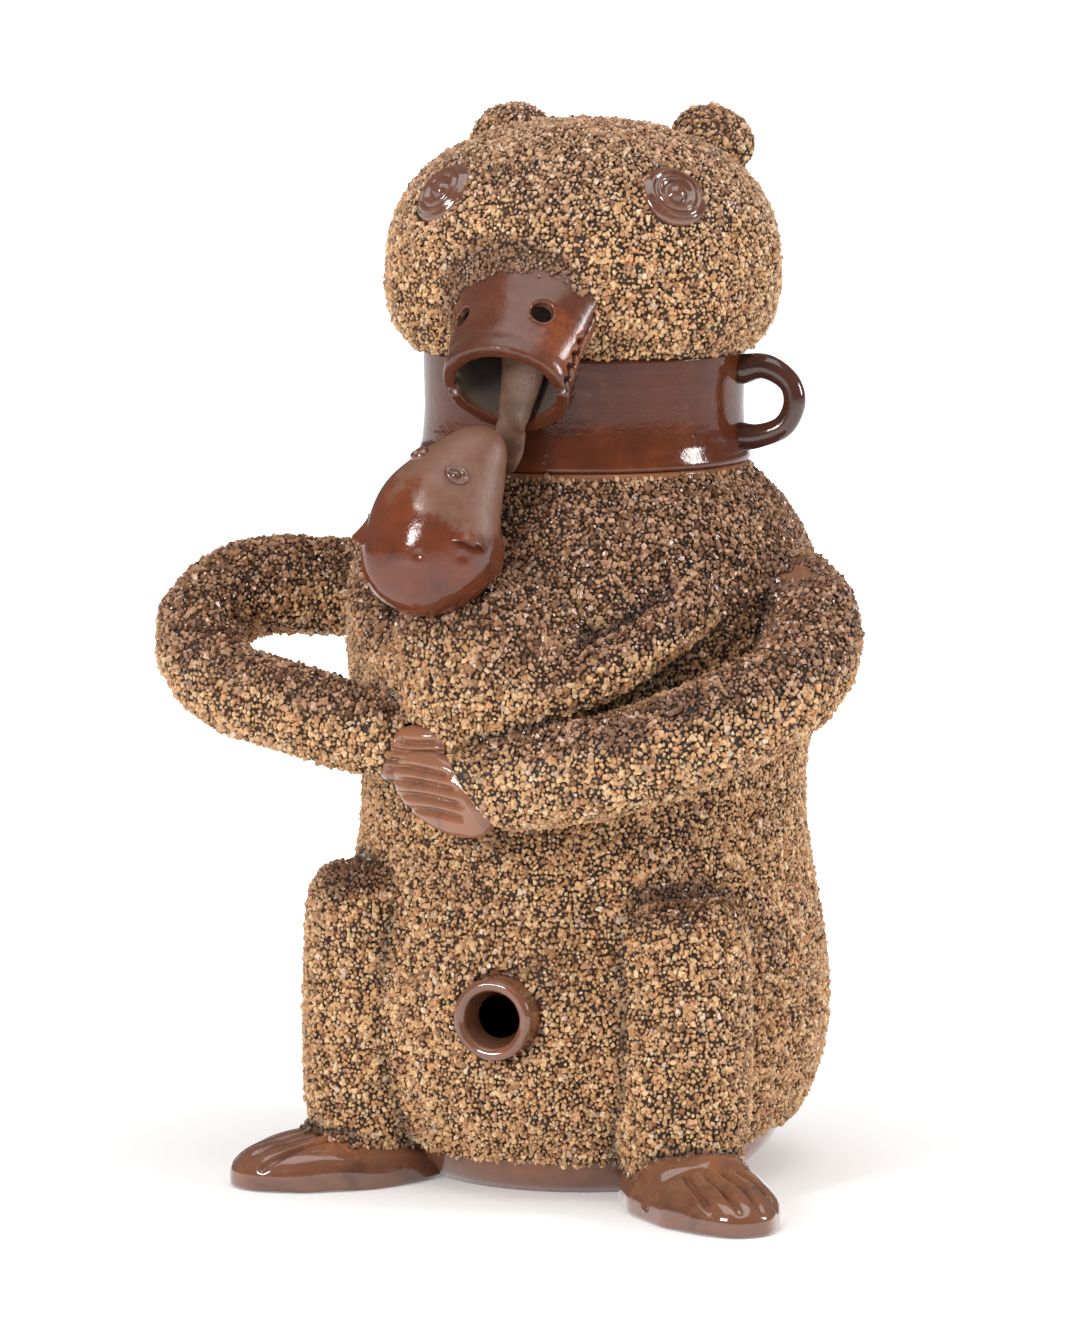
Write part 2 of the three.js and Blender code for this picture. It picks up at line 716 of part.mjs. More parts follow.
const rightArmLine = armPath(rightShoulderHeight, rightArmRadius, [
  [-92, -1, 0],
  [-85, 0.7, 0.01],
  [-77, 2.38, -0.01],
  [-67.5, 3.42, 0.24],
  [-57, 3.12, 0.55],
  [-45, 2, 0.68],
  [-31, 1.2, 0.79],
  [-20, 0.95, 0.87],
]);
const leftArmLine = armPath(leftShoulderHeight, leftArmRadius, [
  [92, -1, -0.02],
  [85, -0.04, 0.02],
  [74, 0.9, 0.22],
  [62, 1.5, 0.46],
  [46, 1.48, 0.69],
  [27, 1.25, 0.92],
  [4, 0.95, 1.06],
  [-12, 0.9, 1.12],
]);
const rightArmGirth = [1.06, 1.08, 1.08, 1.02, 0.96, 0.96, 0.95, 0.9].map((share) => share * rightArmRadius);
const leftArmGirth = [0.95, 0.98, 0.98, 1, 1.02, 1, 0.98, 0.9].map((share) => share * leftArmRadius);

const rightArmForm = (grow) => solidOf(roll(rightArmLine, rightArmGirth, { grow, steps: 22, bluntness: 3 }));
const leftArmForm = (grow) => solidOf(roll(leftArmLine, leftArmGirth, { grow, steps: 22, bluntness: 3 }));

function dogBodyForm(grow) {
  const half = dogBodyHeight / 2;
  const girth = dogBodyWidth / 2;
  const spine = [
    dogMiddle.clone().add(point(girth * 0.068, girth * 0.045, -half)),
    dogMiddle.clone().add(point(0, -girth * 0.068, -half * 0.2)),
    dogMiddle.clone().add(point(-girth * 0.136, girth * 0.045, half)),
  ];
  const radii = [0.92, 1, 0.94, 0.7].map((share) => share * girth);
  return solidOf(roll(spine, radii, { up: point(0, 1, 0), grow, steps: 12 }));
}

// The left wrist is cut across at a slope, where the paw is luted on. This is the half with the paw.
function beyondCuff(grow) {
  const wide = hipRadius * 4;
  const half = solidOf(new THREE.BoxGeometry(wide, wide, wide).translate(-wide / 2 + grow, 0, 0));
  return half.rotate([0, -cuffSlope, 0]).translate([-3, 0, claspHeight - cuffDrop]);
}

const rightArm = () => cut(rightArmForm(0), potForm(seam), dogBodyForm(seam));
const leftArm = () =>
  cut(leftArmForm(0), beyondCuff(seam), potForm(seam), dogBodyForm(seam), rightArmForm(seam));

const paw = {
  sideHeight: pawThickness * 0.4,
  heelShare: 1.1,
  toeShare: 0.7,
  slant: 0.5,
  grooveFrom: -0.6,
  grooveSpread: 0.8,
};

// A paw on the end of its forearm, palm to the pot and tilted up by some degrees.
function pawForm({ side, angle, standoff, height, tilt, size }, grow) {
  const out = around(angle, 1, 0);
  const along = around(angle + side * 90, Math.cos(radians(tilt)), Math.sin(radians(tilt)));
  const across = new THREE.Vector3().crossVectors(along, out).normalize();
  const lie = new THREE.Matrix4().makeBasis(across, along, out);
  lie.setPosition(onPot(angle, standoff - grow, height));
  return padSolid({
    ...paw,
    length: pawLength * size + grow * 2,
    width: pawWidth * size + grow * 2,
    thickness: pawThickness + grow * 2,
    toes: grow > 0 ? 1 : pawFingers,
    slant: -side * paw.slant,
  }).transform(lie.elements);
}

const leftPawPlace = {
  side: -1,
  angle: -9,
  standoff: leftArmRadius * 1.05,
  height: claspHeight - leftPawDrop,
  tilt: 4,
  size: 1,
};
const rightPawPlace = {
  side: 1,
  angle: -17,
  standoff: rightArmRadius * 0.95,
  height: claspHeight + rightPawRise,
  tilt: 0,
  size: 0.74,
};
const leftPawForm = (grow) => pawForm(leftPawPlace, grow).intersect(beyondCuff(0));
const rightPawForm = (grow) => pawForm(rightPawPlace, grow);

const leftPaw = () => cut(leftPawForm(0), rightArmForm(seam), potForm(seam), dogBodyForm(seam));

// The right paw lies under the left one.
const rightPaw = () =>
  cut(rightPawForm(0), rightArmForm(seam), leftArm(), leftPawForm(seam), potForm(seam), dogBodyForm(seam));

function legForm(side, limb) {
  const angle = side * limb.angle;
  const middle = hipRadius + legProud - legDepth;
  const line = [
    around(angle, middle - 5, 3),
    around(angle, middle, 25),
    around(angle, middle, hipHeight),
    around(angle, middle - 1, limb.knee - 20),
    around(angle, middle - 2, limb.knee),
  ];
  const girth = [0.78, 0.95, 1, 1, 0.98].map((share) => share * legHalfWidth);
  const flat = legDepth / legHalfWidth;
  return solidOf(roll(line, girth, { up: around(angle, 1, 0), flat, bluntness: 4, sides: 16, steps: 12 }));
}

function footForm(side, limb, grow = 0) {
  const length = limb.reach - footHeel;
  const pad = {
    length: length + grow * 2,
    width: footWidth + grow * 2,
    thickness: footThickness + grow,
    sideHeight: footSideHeight,
    toes: grow > 0 ? 1 : footToes,
    heelShare: 0.95,
    toeShare: 0.8,
    slant: 0,
    grooveFrom: -0.15,
    grooveSpread: 0.5,
  };
  const place = around(side * limb.footAngle, limb.reach - length / 2, 0);
  return padSolid(pad).rotate([0, 0, 180 + side * limb.footAngle]).translate(place.toArray());
}

// A leg stands on its foot, and neither goes under the table top.
function leg(side, limb) {
  const foot = footForm(side, limb, seam);
  const wide = limb.reach * 4;
  const table = solidOf(new THREE.BoxGeometry(wide, wide, wide).translate(0, 0, -wide / 2));
  const below = foot.add(foot.translate([0, 0, -footSideHeight])).add(table);
  return cut(legForm(side, limb), potForm(seam), below);
}

const foot = (side, limb) => cut(footForm(side, limb), potForm(seam));

// The dog

// From the chin, up through the brow, to the nose.
const dogChin = dogMiddle.clone().add(point(-dogChinAside, -dogChinForward, dogChinRise));
const dogHeadLine = [
  [0, 0, 0],
  [0, -0.05, 0.27],
  [0.05, -0.03, 0.55],
  [0.18, 0.07, 0.81],
  [0.29, 0.15, 1],
].map(([x, y, z]) => dogChin.clone().addScaledVector(point(x, y, z), dogHeadLength));

function dogHeadForm(grow) {
  const skull = [0.92, 1, 0.9].map((share) => share * dogHeadRadius);
  const radii = [...skull, dogNoseRadius * 1.9, dogNoseRadius];
  const shape = { up: point(0, 1, 0), flat: 0.93, bluntness: 2.3, grow, steps: 18 };
  return solidOf(roll(dogHeadLine, radii, shape));
}

const dogHead = () => cut(dogHeadForm(0), dogBodyForm(seam), potForm(seam));
const dogBody = () => cut(dogBodyForm(0), potForm(seam));

const dogFace = new THREE.Mesh(geometryOf(dogHeadForm(0)));

// A place on the dog's head: a share of the way to the nose, and degrees round from its front.
// out is square to the surface there, and along runs over it towards the nose.
function dogSpot(share, spin) {
  const line = new THREE.CatmullRomCurve3(dogHeadLine, false, "centripetal");
  const middle = line.getPointAt(share);
  const along = line.getTangentAt(share);
  const across = new THREE.Vector3().crossVectors(point(0, 1, 0), along).normalize();
  const front = new THREE.Vector3().crossVectors(across, along).normalize();
  if (front.y > 0) front.negate();
  const out = across.multiplyScalar(Math.sin(radians(spin))).addScaledVector(front, Math.cos(radians(spin)));
  const outside = middle.addScaledVector(out, dogHeadLength);
  const [hit] = new THREE.Raycaster(outside, out.clone().negate()).intersectObject(dogFace);
  out.copy(hit.face.normal);
  along.addScaledVector(out, -along.dot(out)).normalize();
  return { out, along, place: hit.point };
}

// A low ring round a sunk pupil.
function dogEye(side) {
  const { place, out, along } = dogSpot(0.69, side * 36 + dogFaceTurn * 2);
  const relief = [[0, 0.5], [0.3, 0.35], [0.5, 0.4], [0.75, 1], [0.92, 0.9], [1, 0.3]];
  const front = relief.map(([away, rise]) => [away * dogEyeRadius, rise * dogEyeRelief]);
  const profile = [...front, [dogEyeRadius, -dogEyeRadius], [0, -dogEyeRadius]];
  return cut(solidOf(facing(turned(profile, 14), place, out, along)), dogHeadForm(seam));
}

// A flap that lies along the head. Its lower edge stands free over a slit.
function dogEar(side) {
  const { place, out, along } = dogSpot(0.45 + side * dogEarSkew, side * 66 + dogFaceTurn);
  const root = place.clone().addScaledVector(along, dogEarLength * 0.55);
  const tip = place.clone().addScaledVector(along, -dogEarLength * 0.45);
  tip.addScaledVector(out, dogEarLength * 0.2);
  const radii = [0.5, 0.9, 1].map((share) => (share * dogEarWidth) / 2);
  const shape = { up: out, flat: 0.34, bluntness: 4, sides: 10, steps: 8 };
  return cut(solidOf(roll([root, place, tip], radii, shape)), dogHeadForm(seam), dogBodyForm(seam));
}

// The rough lower jaw, behind the head and towards the bear's right.
function dogJaw() {
  const back = [point(-0.5, 0.571, 0.286), point(-0.5, 0.571, 0.143), point(-0.464, 0.321, 0.071)];
  const line = back.map((offset, i) => dogHeadLine[i + 1].clone().addScaledVector(offset, dogHeadRadius));
  const girth = [0.42, 0.4, 0.26].map((share) => share * dogHeadRadius);
  const shape = solidOf(roll(line, girth, { up: point(0, 1, 0), flat: 0.8, sides: 12, steps: 10 }));
  return cut(shape, dogHeadForm(seam), dogBodyForm(seam), potForm(seam), cupForm(coverClearance * 2));
}

function dogLeg(side) {
  const line = [
    onPot(side * 8 - 2, dogLegRadius * 0.9, dogHeight - dogBodyHeight * 0.15),
    onPot(side * 26, dogLegRadius * 0.75, dogHeight + dogBodyHeight * 0.0125),
    onPot(side * 42, dogLegRadius * 0.15, dogHeight + dogBodyHeight * 0.2125),
    onPot(side * 52, -dogLegRadius * 0.5, dogHeight + dogBodyHeight * 0.3375),
  ];
  const radii = [dogLegRadius * 1.3, dogLegRadius, dogLegRadius * 0.9, dogLegRadius * 1.05];
  const shape = solidOf(roll(line, radii, { sides: 12, steps: 12 }));
  return cut(shape, potForm(seam), dogBodyForm(seam), rightArmForm(seam), leftArmForm(seam));
}

// Assembly

function piece(name, solid, material) {
  const mesh = new THREE.Mesh(geometryOf(solid), material);
  mesh.name = name;
  return mesh;
}

const jug = new THREE.Group();
jug.add(
  piece("thrown_pot", thrownPot(), grog),
  piece("bung_collar", bungCollar(), glaze),
  piece("right_arm", rightArm(), grog),
  piece("left_arm", leftArm(), grog),
  piece("right_paw", rightPaw(), glaze),
  piece("left_paw", leftPaw(), glaze),
  piece("dog_body", dogBody(), grog),
  piece("dog_head", dogHead(), glaze),
  piece("dog_jaw", dogJaw(), grog),
);
for (const [name, side, limb] of [["right", -1, rightLeg], ["left", 1, leftLeg]]) {
  jug.add(
    piece(`${name}_leg`, leg(side, limb), grog),
    piece(`${name}_foot`, foot(side, limb), glaze),
    piece(`dog_${name}_leg`, dogLeg(side), grog),
    piece(`dog_${name}_eye`, dogEye(side), glaze),
    piece(`dog_${name}_ear`, dogEar(side), glaze),
  );
}

// The cover, turned a little on its seat as it was put down. Its muzzle was luted on askew.
const cover = new THREE.Group();
cover.rotation.z = radians(coverTurn);
cover.add(
  piece("cup_wall", cupWallRing(), glaze),
  piece("head_dome", headDome(), grog),
  piece("cup_handle", cupHandle(), darkGlaze),
);
for (const [name, side] of [["right", -1], ["left", 1]]) {
  cover.add(piece(`${name}_eye`, bearEye(side), glaze), piece(`${name}_ear`, bearEar(side), grog));
}
const muzzle = new THREE.Group();
muzzle.rotation.z = radians(muzzleTurn - coverTurn);
muzzle.add(
  piece("upper_jaw", upperJaw(), glaze),
  piece("lower_jaw", lowerJaw(), glaze),
  piece("tongue", tongue(), unglazed),
);
cover.add(muzzle);

const bear = new THREE.Group();
bear.add(jug, cover);

export default bear;
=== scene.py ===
# %% [markdown]
# # A salt-glazed stoneware bear jug
# The jug is a thrown pot with a bear's limbs luted on. Most of it is rolled in crumbs of fired clay,
# and only the paws, the face and the loose cup under the head are left smooth and glazed. The packed
# CAD model gives every piece its place. This lesson gives the pieces their clay, crumbs and glaze.

import math
import random

import bmesh
import bpy
from mathutils import Matrix, Vector, noise
from mathutils.bvhtree import BVHTree


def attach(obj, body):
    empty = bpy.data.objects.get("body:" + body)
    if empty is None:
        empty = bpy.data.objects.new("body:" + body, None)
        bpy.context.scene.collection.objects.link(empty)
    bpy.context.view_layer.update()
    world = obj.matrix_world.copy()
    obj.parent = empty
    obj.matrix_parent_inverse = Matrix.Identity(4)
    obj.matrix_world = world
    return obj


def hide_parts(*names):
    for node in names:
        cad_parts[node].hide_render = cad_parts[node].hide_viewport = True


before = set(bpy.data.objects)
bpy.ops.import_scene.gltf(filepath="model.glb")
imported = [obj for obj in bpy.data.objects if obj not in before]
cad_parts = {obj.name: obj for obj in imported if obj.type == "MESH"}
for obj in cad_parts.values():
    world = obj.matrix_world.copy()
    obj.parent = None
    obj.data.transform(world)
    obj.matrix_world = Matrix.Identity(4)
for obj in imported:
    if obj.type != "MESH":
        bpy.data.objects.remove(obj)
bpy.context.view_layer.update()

# %% [markdown]
# ## The camera
# The photograph was taken from far away with a long lens, a little above the bear's head and 20
# degrees towards its left side. The camera is put there first.
# It is aimed with a tilt and no shift, so that it can be carried round the object later.

# %% Camera
CAMERA_AZIMUTH = 20.0
CAMERA_DISTANCE = 2.85
CAMERA_HEIGHT = 0.57
CAMERA_LENS = 197.0
AIM = Vector((-0.0164, -0.0060, 0.2020))


def aimed(place, target):
    """The matrix of a camera or lamp at one point that looks at another."""
    turn = (target - place).to_track_quat("-Z", "Y").to_matrix().to_4x4()
    return Matrix.Translation(place) @ turn


def around(angle, radius, height):
    """A point round the axis. The angle runs from the front towards the bear's left."""
    turn = math.radians(angle)
    return Vector((radius * math.sin(turn), -radius * math.cos(turn), height))


def linked(made):
    """Puts an object in the scene."""
    bpy.context.scene.collection.objects.link(made)
    return made


camera = linked(bpy.data.objects.new("camera", bpy.data.cameras.new("camera")))
camera.data.lens = CAMERA_LENS
camera.data.sensor_width = 36.0
camera.data.clip_start, camera.data.clip_end = 0.1, 30.0
camera.matrix_world = aimed(around(CAMERA_AZIMUTH, CAMERA_DISTANCE, CAMERA_HEIGHT), AIM)
bpy.context.scene.camera = camera
print("camera at", [round(v, 3) for v in camera.matrix_world.translation])

# %% [markdown]
# ## Shader tools
# A material in Blender is a graph of nodes. These small helpers add one node at a time, so that each
# finish below reads as a list of what happens to the clay. Colours are given as the numbers from 0 to
# 255 that a paint program shows, and are turned to the linear values that the renderer wants.

# %% Node helpers


def paint(*screen):
    """A screen colour as the linear RGBA that a shader socket takes."""
    shares = [value / 255 for value in screen]
    linear = [c / 12.92 if c <= 0.04045 else ((c + 0.055) / 1.055) ** 2.4 for c in shares]
    return (*linear, 1.0)


def add(tree, kind, inputs=None, **settings):
    """Adds a node. An input is another node's socket, or a value."""
    made = tree.nodes.new(kind)
    for name, value in settings.items():
        setattr(made, name, value)
    for name, value in (inputs or {}).items():
        if isinstance(value, bpy.types.NodeSocket):
            tree.links.new(value, made.inputs[name])
        else:
            made.inputs[name].default_value = value
    return made


def mixed(tree, share, first, second, blend="MIX"):
    made = add(tree, "ShaderNodeMix", {0: share, 6: first, 7: second}, data_type="RGBA", blend_type=blend)
    return made.outputs[2]


def ranged(tree, value, low, high, to_low=0.0, to_high=1.0):
    """Maps a value's range smoothly onto another."""
    inputs = {"Value": value, "From Min": low, "From Max": high, "To Min": to_low, "To Max": to_high}
    return add(tree, "ShaderNodeMapRange", inputs, interpolation_type="SMOOTHSTEP").outputs["Result"]


def clouds(tree, place, size, detail=3.0, roughness=0.5, distortion=0.0):
    """Noise whose blots are about the given size in metres."""
    inputs = {"Vector": place, "Scale": 1 / size, "Detail": detail}
    inputs.update({"Roughness": roughness, "Distortion": distortion})
    return add(tree, "ShaderNodeTexNoise", inputs).outputs["Fac"]


def maths(tree, operation, first, second=0.5):
    return add(tree, "ShaderNodeMath", {0: first, 1: second}, operation=operation).outputs[0]


def plus(tree, first, second):
    return maths(tree, "ADD", first, second)


def minus(tree, first, second):
    return maths(tree, "SUBTRACT", first, second)


def times(tree, first, second):
    return maths(tree, "MULTIPLY", first, second)


def vector_maths(tree, operation, first, second=(0, 0, 0)):
    """Gives a vector, or a number for a distance, a length or a dot product."""
    made = add(tree, "ShaderNodeVectorMath", {0: first, 1: second}, operation=operation)
    return made.outputs["Value" if operation in ("DISTANCE", "LENGTH", "DOT_PRODUCT") else "Vector"]


def axes(tree, vector):
    return add(tree, "ShaderNodeSeparateXYZ", {"Vector": vector}).outputs


def object_place(tree):
    return add(tree, "ShaderNodeTexCoord").outputs["Object"]


def kept_number(tree, name):
    """A number that the mesh keeps as an attribute."""
    return add(tree, "ShaderNodeAttribute", attribute_name=name).outputs["Fac"]


def mixed_number(tree, share, first, second):
    return add(tree, "ShaderNodeMix", {0: share, 2: first, 3: second}, data_type="FLOAT").outputs[0]


def colour_ramp(tree, value, stops):
    made = add(tree, "ShaderNodeValToRGB", {"Fac": value})
    elements = made.color_ramp.elements
    while len(elements) < len(stops):
        elements.new(0.5)
    for element, (position, colour) in zip(elements, stops):
        element.position = position
        element.color = colour
    return made.outputs["Color"]


def shader_group(name, inputs, outputs):
    """An empty group with its sockets, and the nodes that stand for them."""
    tree = bpy.data.node_groups.new(name, "ShaderNodeTree")
    for label, kind, value in inputs:
        tree.interface.new_socket(label, in_out="INPUT", socket_type=kind).default_value = value
    for label, kind in outputs:
        tree.interface.new_socket(label, in_out="OUTPUT", socket_type=kind)
    return tree, tree.nodes.new("NodeGroupInput"), tree.nodes.new("NodeGroupOutput")


COLOUR, NUMBER, VECTOR = "NodeSocketColor", "NodeSocketFloat", "NodeSocketVector"

# %% [markdown]
# ## The salt glaze
# Salt thrown into the kiln melts on the clay as a thin, glassy orange-peel skin. It is chocolate
# brown where it lies thick, orange where it runs thin over an edge, and grey where ash has settled
# on what faces up. The effect is one group with a colour for each of these, because every smooth
# piece has it, and each material gives it its own values.

# %% Group: salt glaze


def salt_glaze_group():
    tree, given, out = shader_group(
        "salt_glaze",
        [
            ("Brown", COLOUR, paint(110, 62, 42)),
            ("Orange", COLOUR, paint(158, 88, 48)),
            ("Dark", COLOUR, paint(62, 36, 28)),
            ("Ash", COLOUR, paint(126, 102, 88)),
            ("Ashiness", NUMBER, 0.3),
            ("Ash Height", NUMBER, 9.0),
            ("Ash Tilt", NUMBER, 0.0),
            ("Dullness", NUMBER, 0.0),
            ("Edge", NUMBER, 0.5),
            ("Edge Low", NUMBER, 0.52),
            ("Blush At", VECTOR, (0, 0, -1)),
            ("Blush Size", NUMBER, 0.012),
        ],
        [("Color", COLOUR), ("Roughness", NUMBER), ("Height", NUMBER)],
    )
    wanted = given.outputs
    place = object_place(tree)
    blots = clouds(tree, place, 0.020, 5.0, 0.62, 0.5)
    mottle = clouds(tree, place, 0.0045, 4.0, 0.6)
    thick = times(tree, ranged(tree, blots, 0.50, 0.30), 0.55)
    colour = mixed(tree, thick, wanted["Brown"], wanted["Dark"])
    warm = times(tree, ranged(tree, blots, 0.50, 0.72), ranged(tree, mottle, 0.3, 0.7, 0.3, 0.7))
    colour = mixed(tree, warm, colour, wanted["Orange"])
    thin = ranged(tree, wanted["Edge"], wanted["Edge Low"], 0.62)
    colour = mixed(tree, times(tree, thin, 0.7), colour, wanted["Orange"])
    pooled = ranged(tree, wanted["Edge"], 0.475, 0.40)
    colour = mixed(tree, times(tree, pooled, 0.6), colour, wanted["Dark"])
    away = vector_maths(tree, "DISTANCE", place, wanted["Blush At"])
    near = maths(tree, "DIVIDE", away, wanted["Blush Size"])
    near = plus(tree, near, ranged(tree, mottle, 0.2, 0.8, -0.5, 0.5))
    colour = mixed(tree, ranged(tree, near, 1.1, 0.4, 0.0, 0.8), colour, wanted["Orange"])
    upward = axes(tree, add(tree, "ShaderNodeTexCoord").outputs["Normal"])["Z"]
    settled = times(tree, ranged(tree, upward, -0.2, 0.9), wanted["Ashiness"])
    drifts = clouds(tree, place, 0.016, 6.0, 0.7)
    ash = times(tree, settled, ranged(tree, drifts, 0.25, 0.75))
    spot = axes(tree, place)
    height = plus(tree, spot["Z"], times(tree, spot["X"], wanted["Ash Tilt"]))
    height = plus(tree, height, ranged(tree, drifts, 0.2, 0.8, -0.012, 0.012))
    above = minus(tree, height, wanted["Ash Height"])
    ash = maths(tree, "MAXIMUM", ash, ranged(tree, above, -0.007, 0.007, 0.0, 0.68))
    patchy = ranged(tree, mottle, 0.38, 0.7, 0.0, 0.4)
    colour = mixed(tree, ash, colour, mixed(tree, patchy, wanted["Ash"], wanted["Brown"]))
    specks = ranged(tree, clouds(tree, place, 0.0009, 2.0), 0.64, 0.76)
    colour = mixed(tree, times(tree, specks, 0.35), colour, wanted["Dark"])
    tree.links.new(colour, out.inputs["Color"])
    fine = clouds(tree, place, 0.0016, 3.0, 0.6)
    roughness = plus(tree, ranged(tree, fine, 0.3, 0.8, 0.07, 0.18), wanted["Dullness"])
    tree.links.new(plus(tree, roughness, times(tree, ash, 0.55)), out.inputs["Roughness"])
    peel = clouds(tree, place, 0.0011, 1.0)
    wobble = clouds(tree, place, 0.006, 2.0)
    tree.links.new(plus(tree, times(tree, peel, 0.35), times(tree, wobble, 1.2)), out.inputs["Height"])
    return tree


salt_glaze = salt_glaze_group()
print("salt glaze group:", len(salt_glaze.nodes), "nodes")


def new_material(name):
    material = bpy.data.materials.new(name)
    material.use_nodes = True
    return material, material.node_tree, material.node_tree.nodes["Principled BSDF"]


# DEEP_LINING_SHADE is painted shade for the inside of the mouth, deeper in.
LINING, DEEP_LINING_SHADE, SLIP_AND_GAP_SHADE = paint(112, 95, 82), paint(44, 35, 30), paint(40, 28, 21)
BARE_SPOT = Vector((0.098, -0.026, 0.243))


def glazed(name, bump=0.00022, coat=0.35, lined=False, patch=None, **values):
    """A glossy brown glaze. The values name the group's sockets.

    A lined piece is dull and grey inside, with painted shade darkening it deeper in, and a patch of glaze
    only lies round its middle."""
    material, tree, surface = new_material(name)
    effect = add(tree, "ShaderNodeGroup", node_tree=salt_glaze)
    for socket, value in values.items():
        effect.inputs[socket.replace("_", " ")].default_value = value
    tree.links.new(add(tree, "ShaderNodeNewGeometry").outputs["Pointiness"], effect.inputs["Edge"])
    bumps = {"Height": effect.outputs["Height"], "Distance": bump, "Strength": 0.6}
    relief = add(tree, "ShaderNodeBump", bumps)
    colour, roughness = effect.outputs["Color"], effect.outputs["Roughness"]
    surface.inputs["Coat Weight"].default_value = coat
    if lined or patch:
        place = object_place(tree)
        if patch:
            share = ranged(tree, vector_maths(tree, "DISTANCE", place, patch), 0.016, 0.018)
            # round the patch lies the slip's colour, dark partly as painted shade
            bare = SLIP_AND_GAP_SHADE
        else:
            share = kept_number(tree, "lining")
            # painted shade: the grey lining turns darker deeper inside the mouth
            bare = mixed(tree, ranged(tree, axes(tree, place)["Y"], -0.084, -0.068), LINING, DEEP_LINING_SHADE)
        colour = mixed(tree, share, colour, bare)
        roughness = mixed_number(tree, share, roughness, 0.6)
        tree.links.new(mixed_number(tree, share, coat, 0.0), surface.inputs["Coat Weight"])
    tree.links.new(colour, surface.inputs["Base Color"])
    tree.links.new(roughness, surface.inputs["Roughness"])
    tree.links.new(relief.outputs["Normal"], surface.inputs["Normal"])
    surface.inputs["IOR"].default_value = 1.5
    surface.inputs["Coat Roughness"].default_value = 0.06
    return material


cup_glaze = glazed("cup_glaze", coat=0.0, Brown=paint(88, 42, 23), Orange=paint(116, 60, 31), Ashiness=0.05)
face_glaze = glazed(
    "face_glaze",
    coat=0.05,
    lined=True,
    Brown=paint(91, 48, 31),
    Orange=paint(132, 68, 36),
    Ash=paint(98, 66, 51),
    Ashiness=0.5,
    Dullness=0.08,
    Blush_At=(0.024, -0.084, 0.335),
    Blush_Size=0.014,
)
eye_glaze = glazed("eye_glaze", coat=0.8, Brown=paint(104, 66, 50), Orange=paint(142, 98, 76), Ashiness=0.1)
paw_glaze = glazed("paw_glaze", coat=0.6, Brown=paint(148, 98, 72), Orange=paint(162, 96, 58), Ashiness=0.25)
foot_glaze = glazed(
    "foot_glaze",
    coat=0.8,
    Brown=paint(118, 74, 52),
    Orange=paint(158, 92, 54),
    Ash=paint(150, 126, 110),
    Ashiness=0.2,
    Blush_At=(-0.0727, -0.0808, 0.020),
    Blush_Size=0.014,
)
dog_glaze = glazed(
    "dog_glaze",
    coat=0.0,
    Brown=paint(104, 52, 33),
    Orange=paint(138, 70, 37),
    Ash=paint(124, 92, 73),
    Ashiness=0.1,
    Ash_Height=0.268,
    Ash_Tilt=0.5,
)
handle_glaze = glazed("handle_glaze", Brown=paint(74, 42, 32), Orange=paint(96, 56, 38), Ashiness=0.1)
patch_glaze = glazed(
    "patch_glaze", patch=BARE_SPOT, Brown=paint(128, 88, 66), Orange=paint(150, 96, 64), Ashiness=0.3
)
body_glaze = glazed(
    "body_glaze", coat=0.15, Brown=paint(132, 84, 58), Orange=paint(158, 100, 62), Ashiness=0.2
)

# %% [markdown]
# ## Slip and bare clay
# Under the crumbs lies the brown slip that holds them, and it shows as dark gaps between them. Its dark
# colour is partly painted shade for those gaps. The tongue is dull bare clay. Both are one kind of matt
# material with clouds of a second colour in it.

# %% Slip and bare clay


def matt_clay(name, first, second, size, bump=0.0004, roughness=0.75):
    material, tree, surface = new_material(name)
    place = object_place(tree)
    share = ranged(tree, clouds(tree, place, size, 5.0, 0.65), 0.35, 0.65)
    grit = clouds(tree, place, 0.0009, 3.0, 0.7)
    rough = ranged(tree, grit, 0.3, 0.7, roughness - 0.12, roughness + 0.1)
    relief = add(tree, "ShaderNodeBump", {"Height": grit, "Distance": bump, "Strength": 0.8})
    tree.links.new(mixed(tree, share, first, second), surface.inputs["Base Color"])
    tree.links.new(rough, surface.inputs["Roughness"])
    tree.links.new(relief.outputs["Normal"], surface.inputs["Normal"])
    return material


# The slips are dark partly as painted shade in the gaps between the crumbs.
slip = matt_clay("slip", paint(42, 29, 22), paint(74, 52, 38), 0.018, 0.0008)
pale_slip = matt_clay("pale_slip", paint(74, 53, 40), paint(98, 72, 54), 0.018, 0.0008)
bare_clay = matt_clay("bare_clay", paint(100, 68, 50), paint(126, 92, 70), 0.012, 0.0002, 0.5)

# %% [markdown]
# ## The crumbs
# The coat is crushed fired clay, sieved to about 2 mm. Each crumb has its own colour from ochre to
# brown, and those on top have caught more salt and are darker and shinier. Real crumbs are modelled,
# because they make the outline and the small shadows. The numbers that the material reads are kept on
# the mesh as attributes: a random tone, how far the skin faces up, how far each corner stands proud
# and how deep it lies in a crease. The foot of each crumb is darkened as painted shade with some
# pooled glaze, and the creases as painted shade.

# %% Crumb material


OCHRE = [(0.0, (128, 87, 60)), (0.12, (182, 133, 90)), (0.38, (214, 166, 117)), (0.60, (229, 185, 135))]
OCHRE += [(0.78, (236, 202, 155)), (0.89, (219, 156, 104)), (0.95, (180, 145, 120)), (1.0, (247, 224, 195))]
BURNT_JUG = [(0.0, (62, 40, 32)), (0.3, (116, 78, 58)), (0.7, (158, 114, 86)), (1.0, (200, 158, 130))]
BURNT_HEAD = [(0.0, (112, 80, 60)), (0.3, (162, 122, 93)), (0.7, (196, 154, 120)), (1.0, (224, 192, 162))]
# The crumbs are darker in a band round the arms and the dog at this height.
DARK_BAND_HEIGHT, DARK_BAND_REACH = 0.230, 0.05
HEAD_FROM, HEAD_TO = 0.30, 0.34
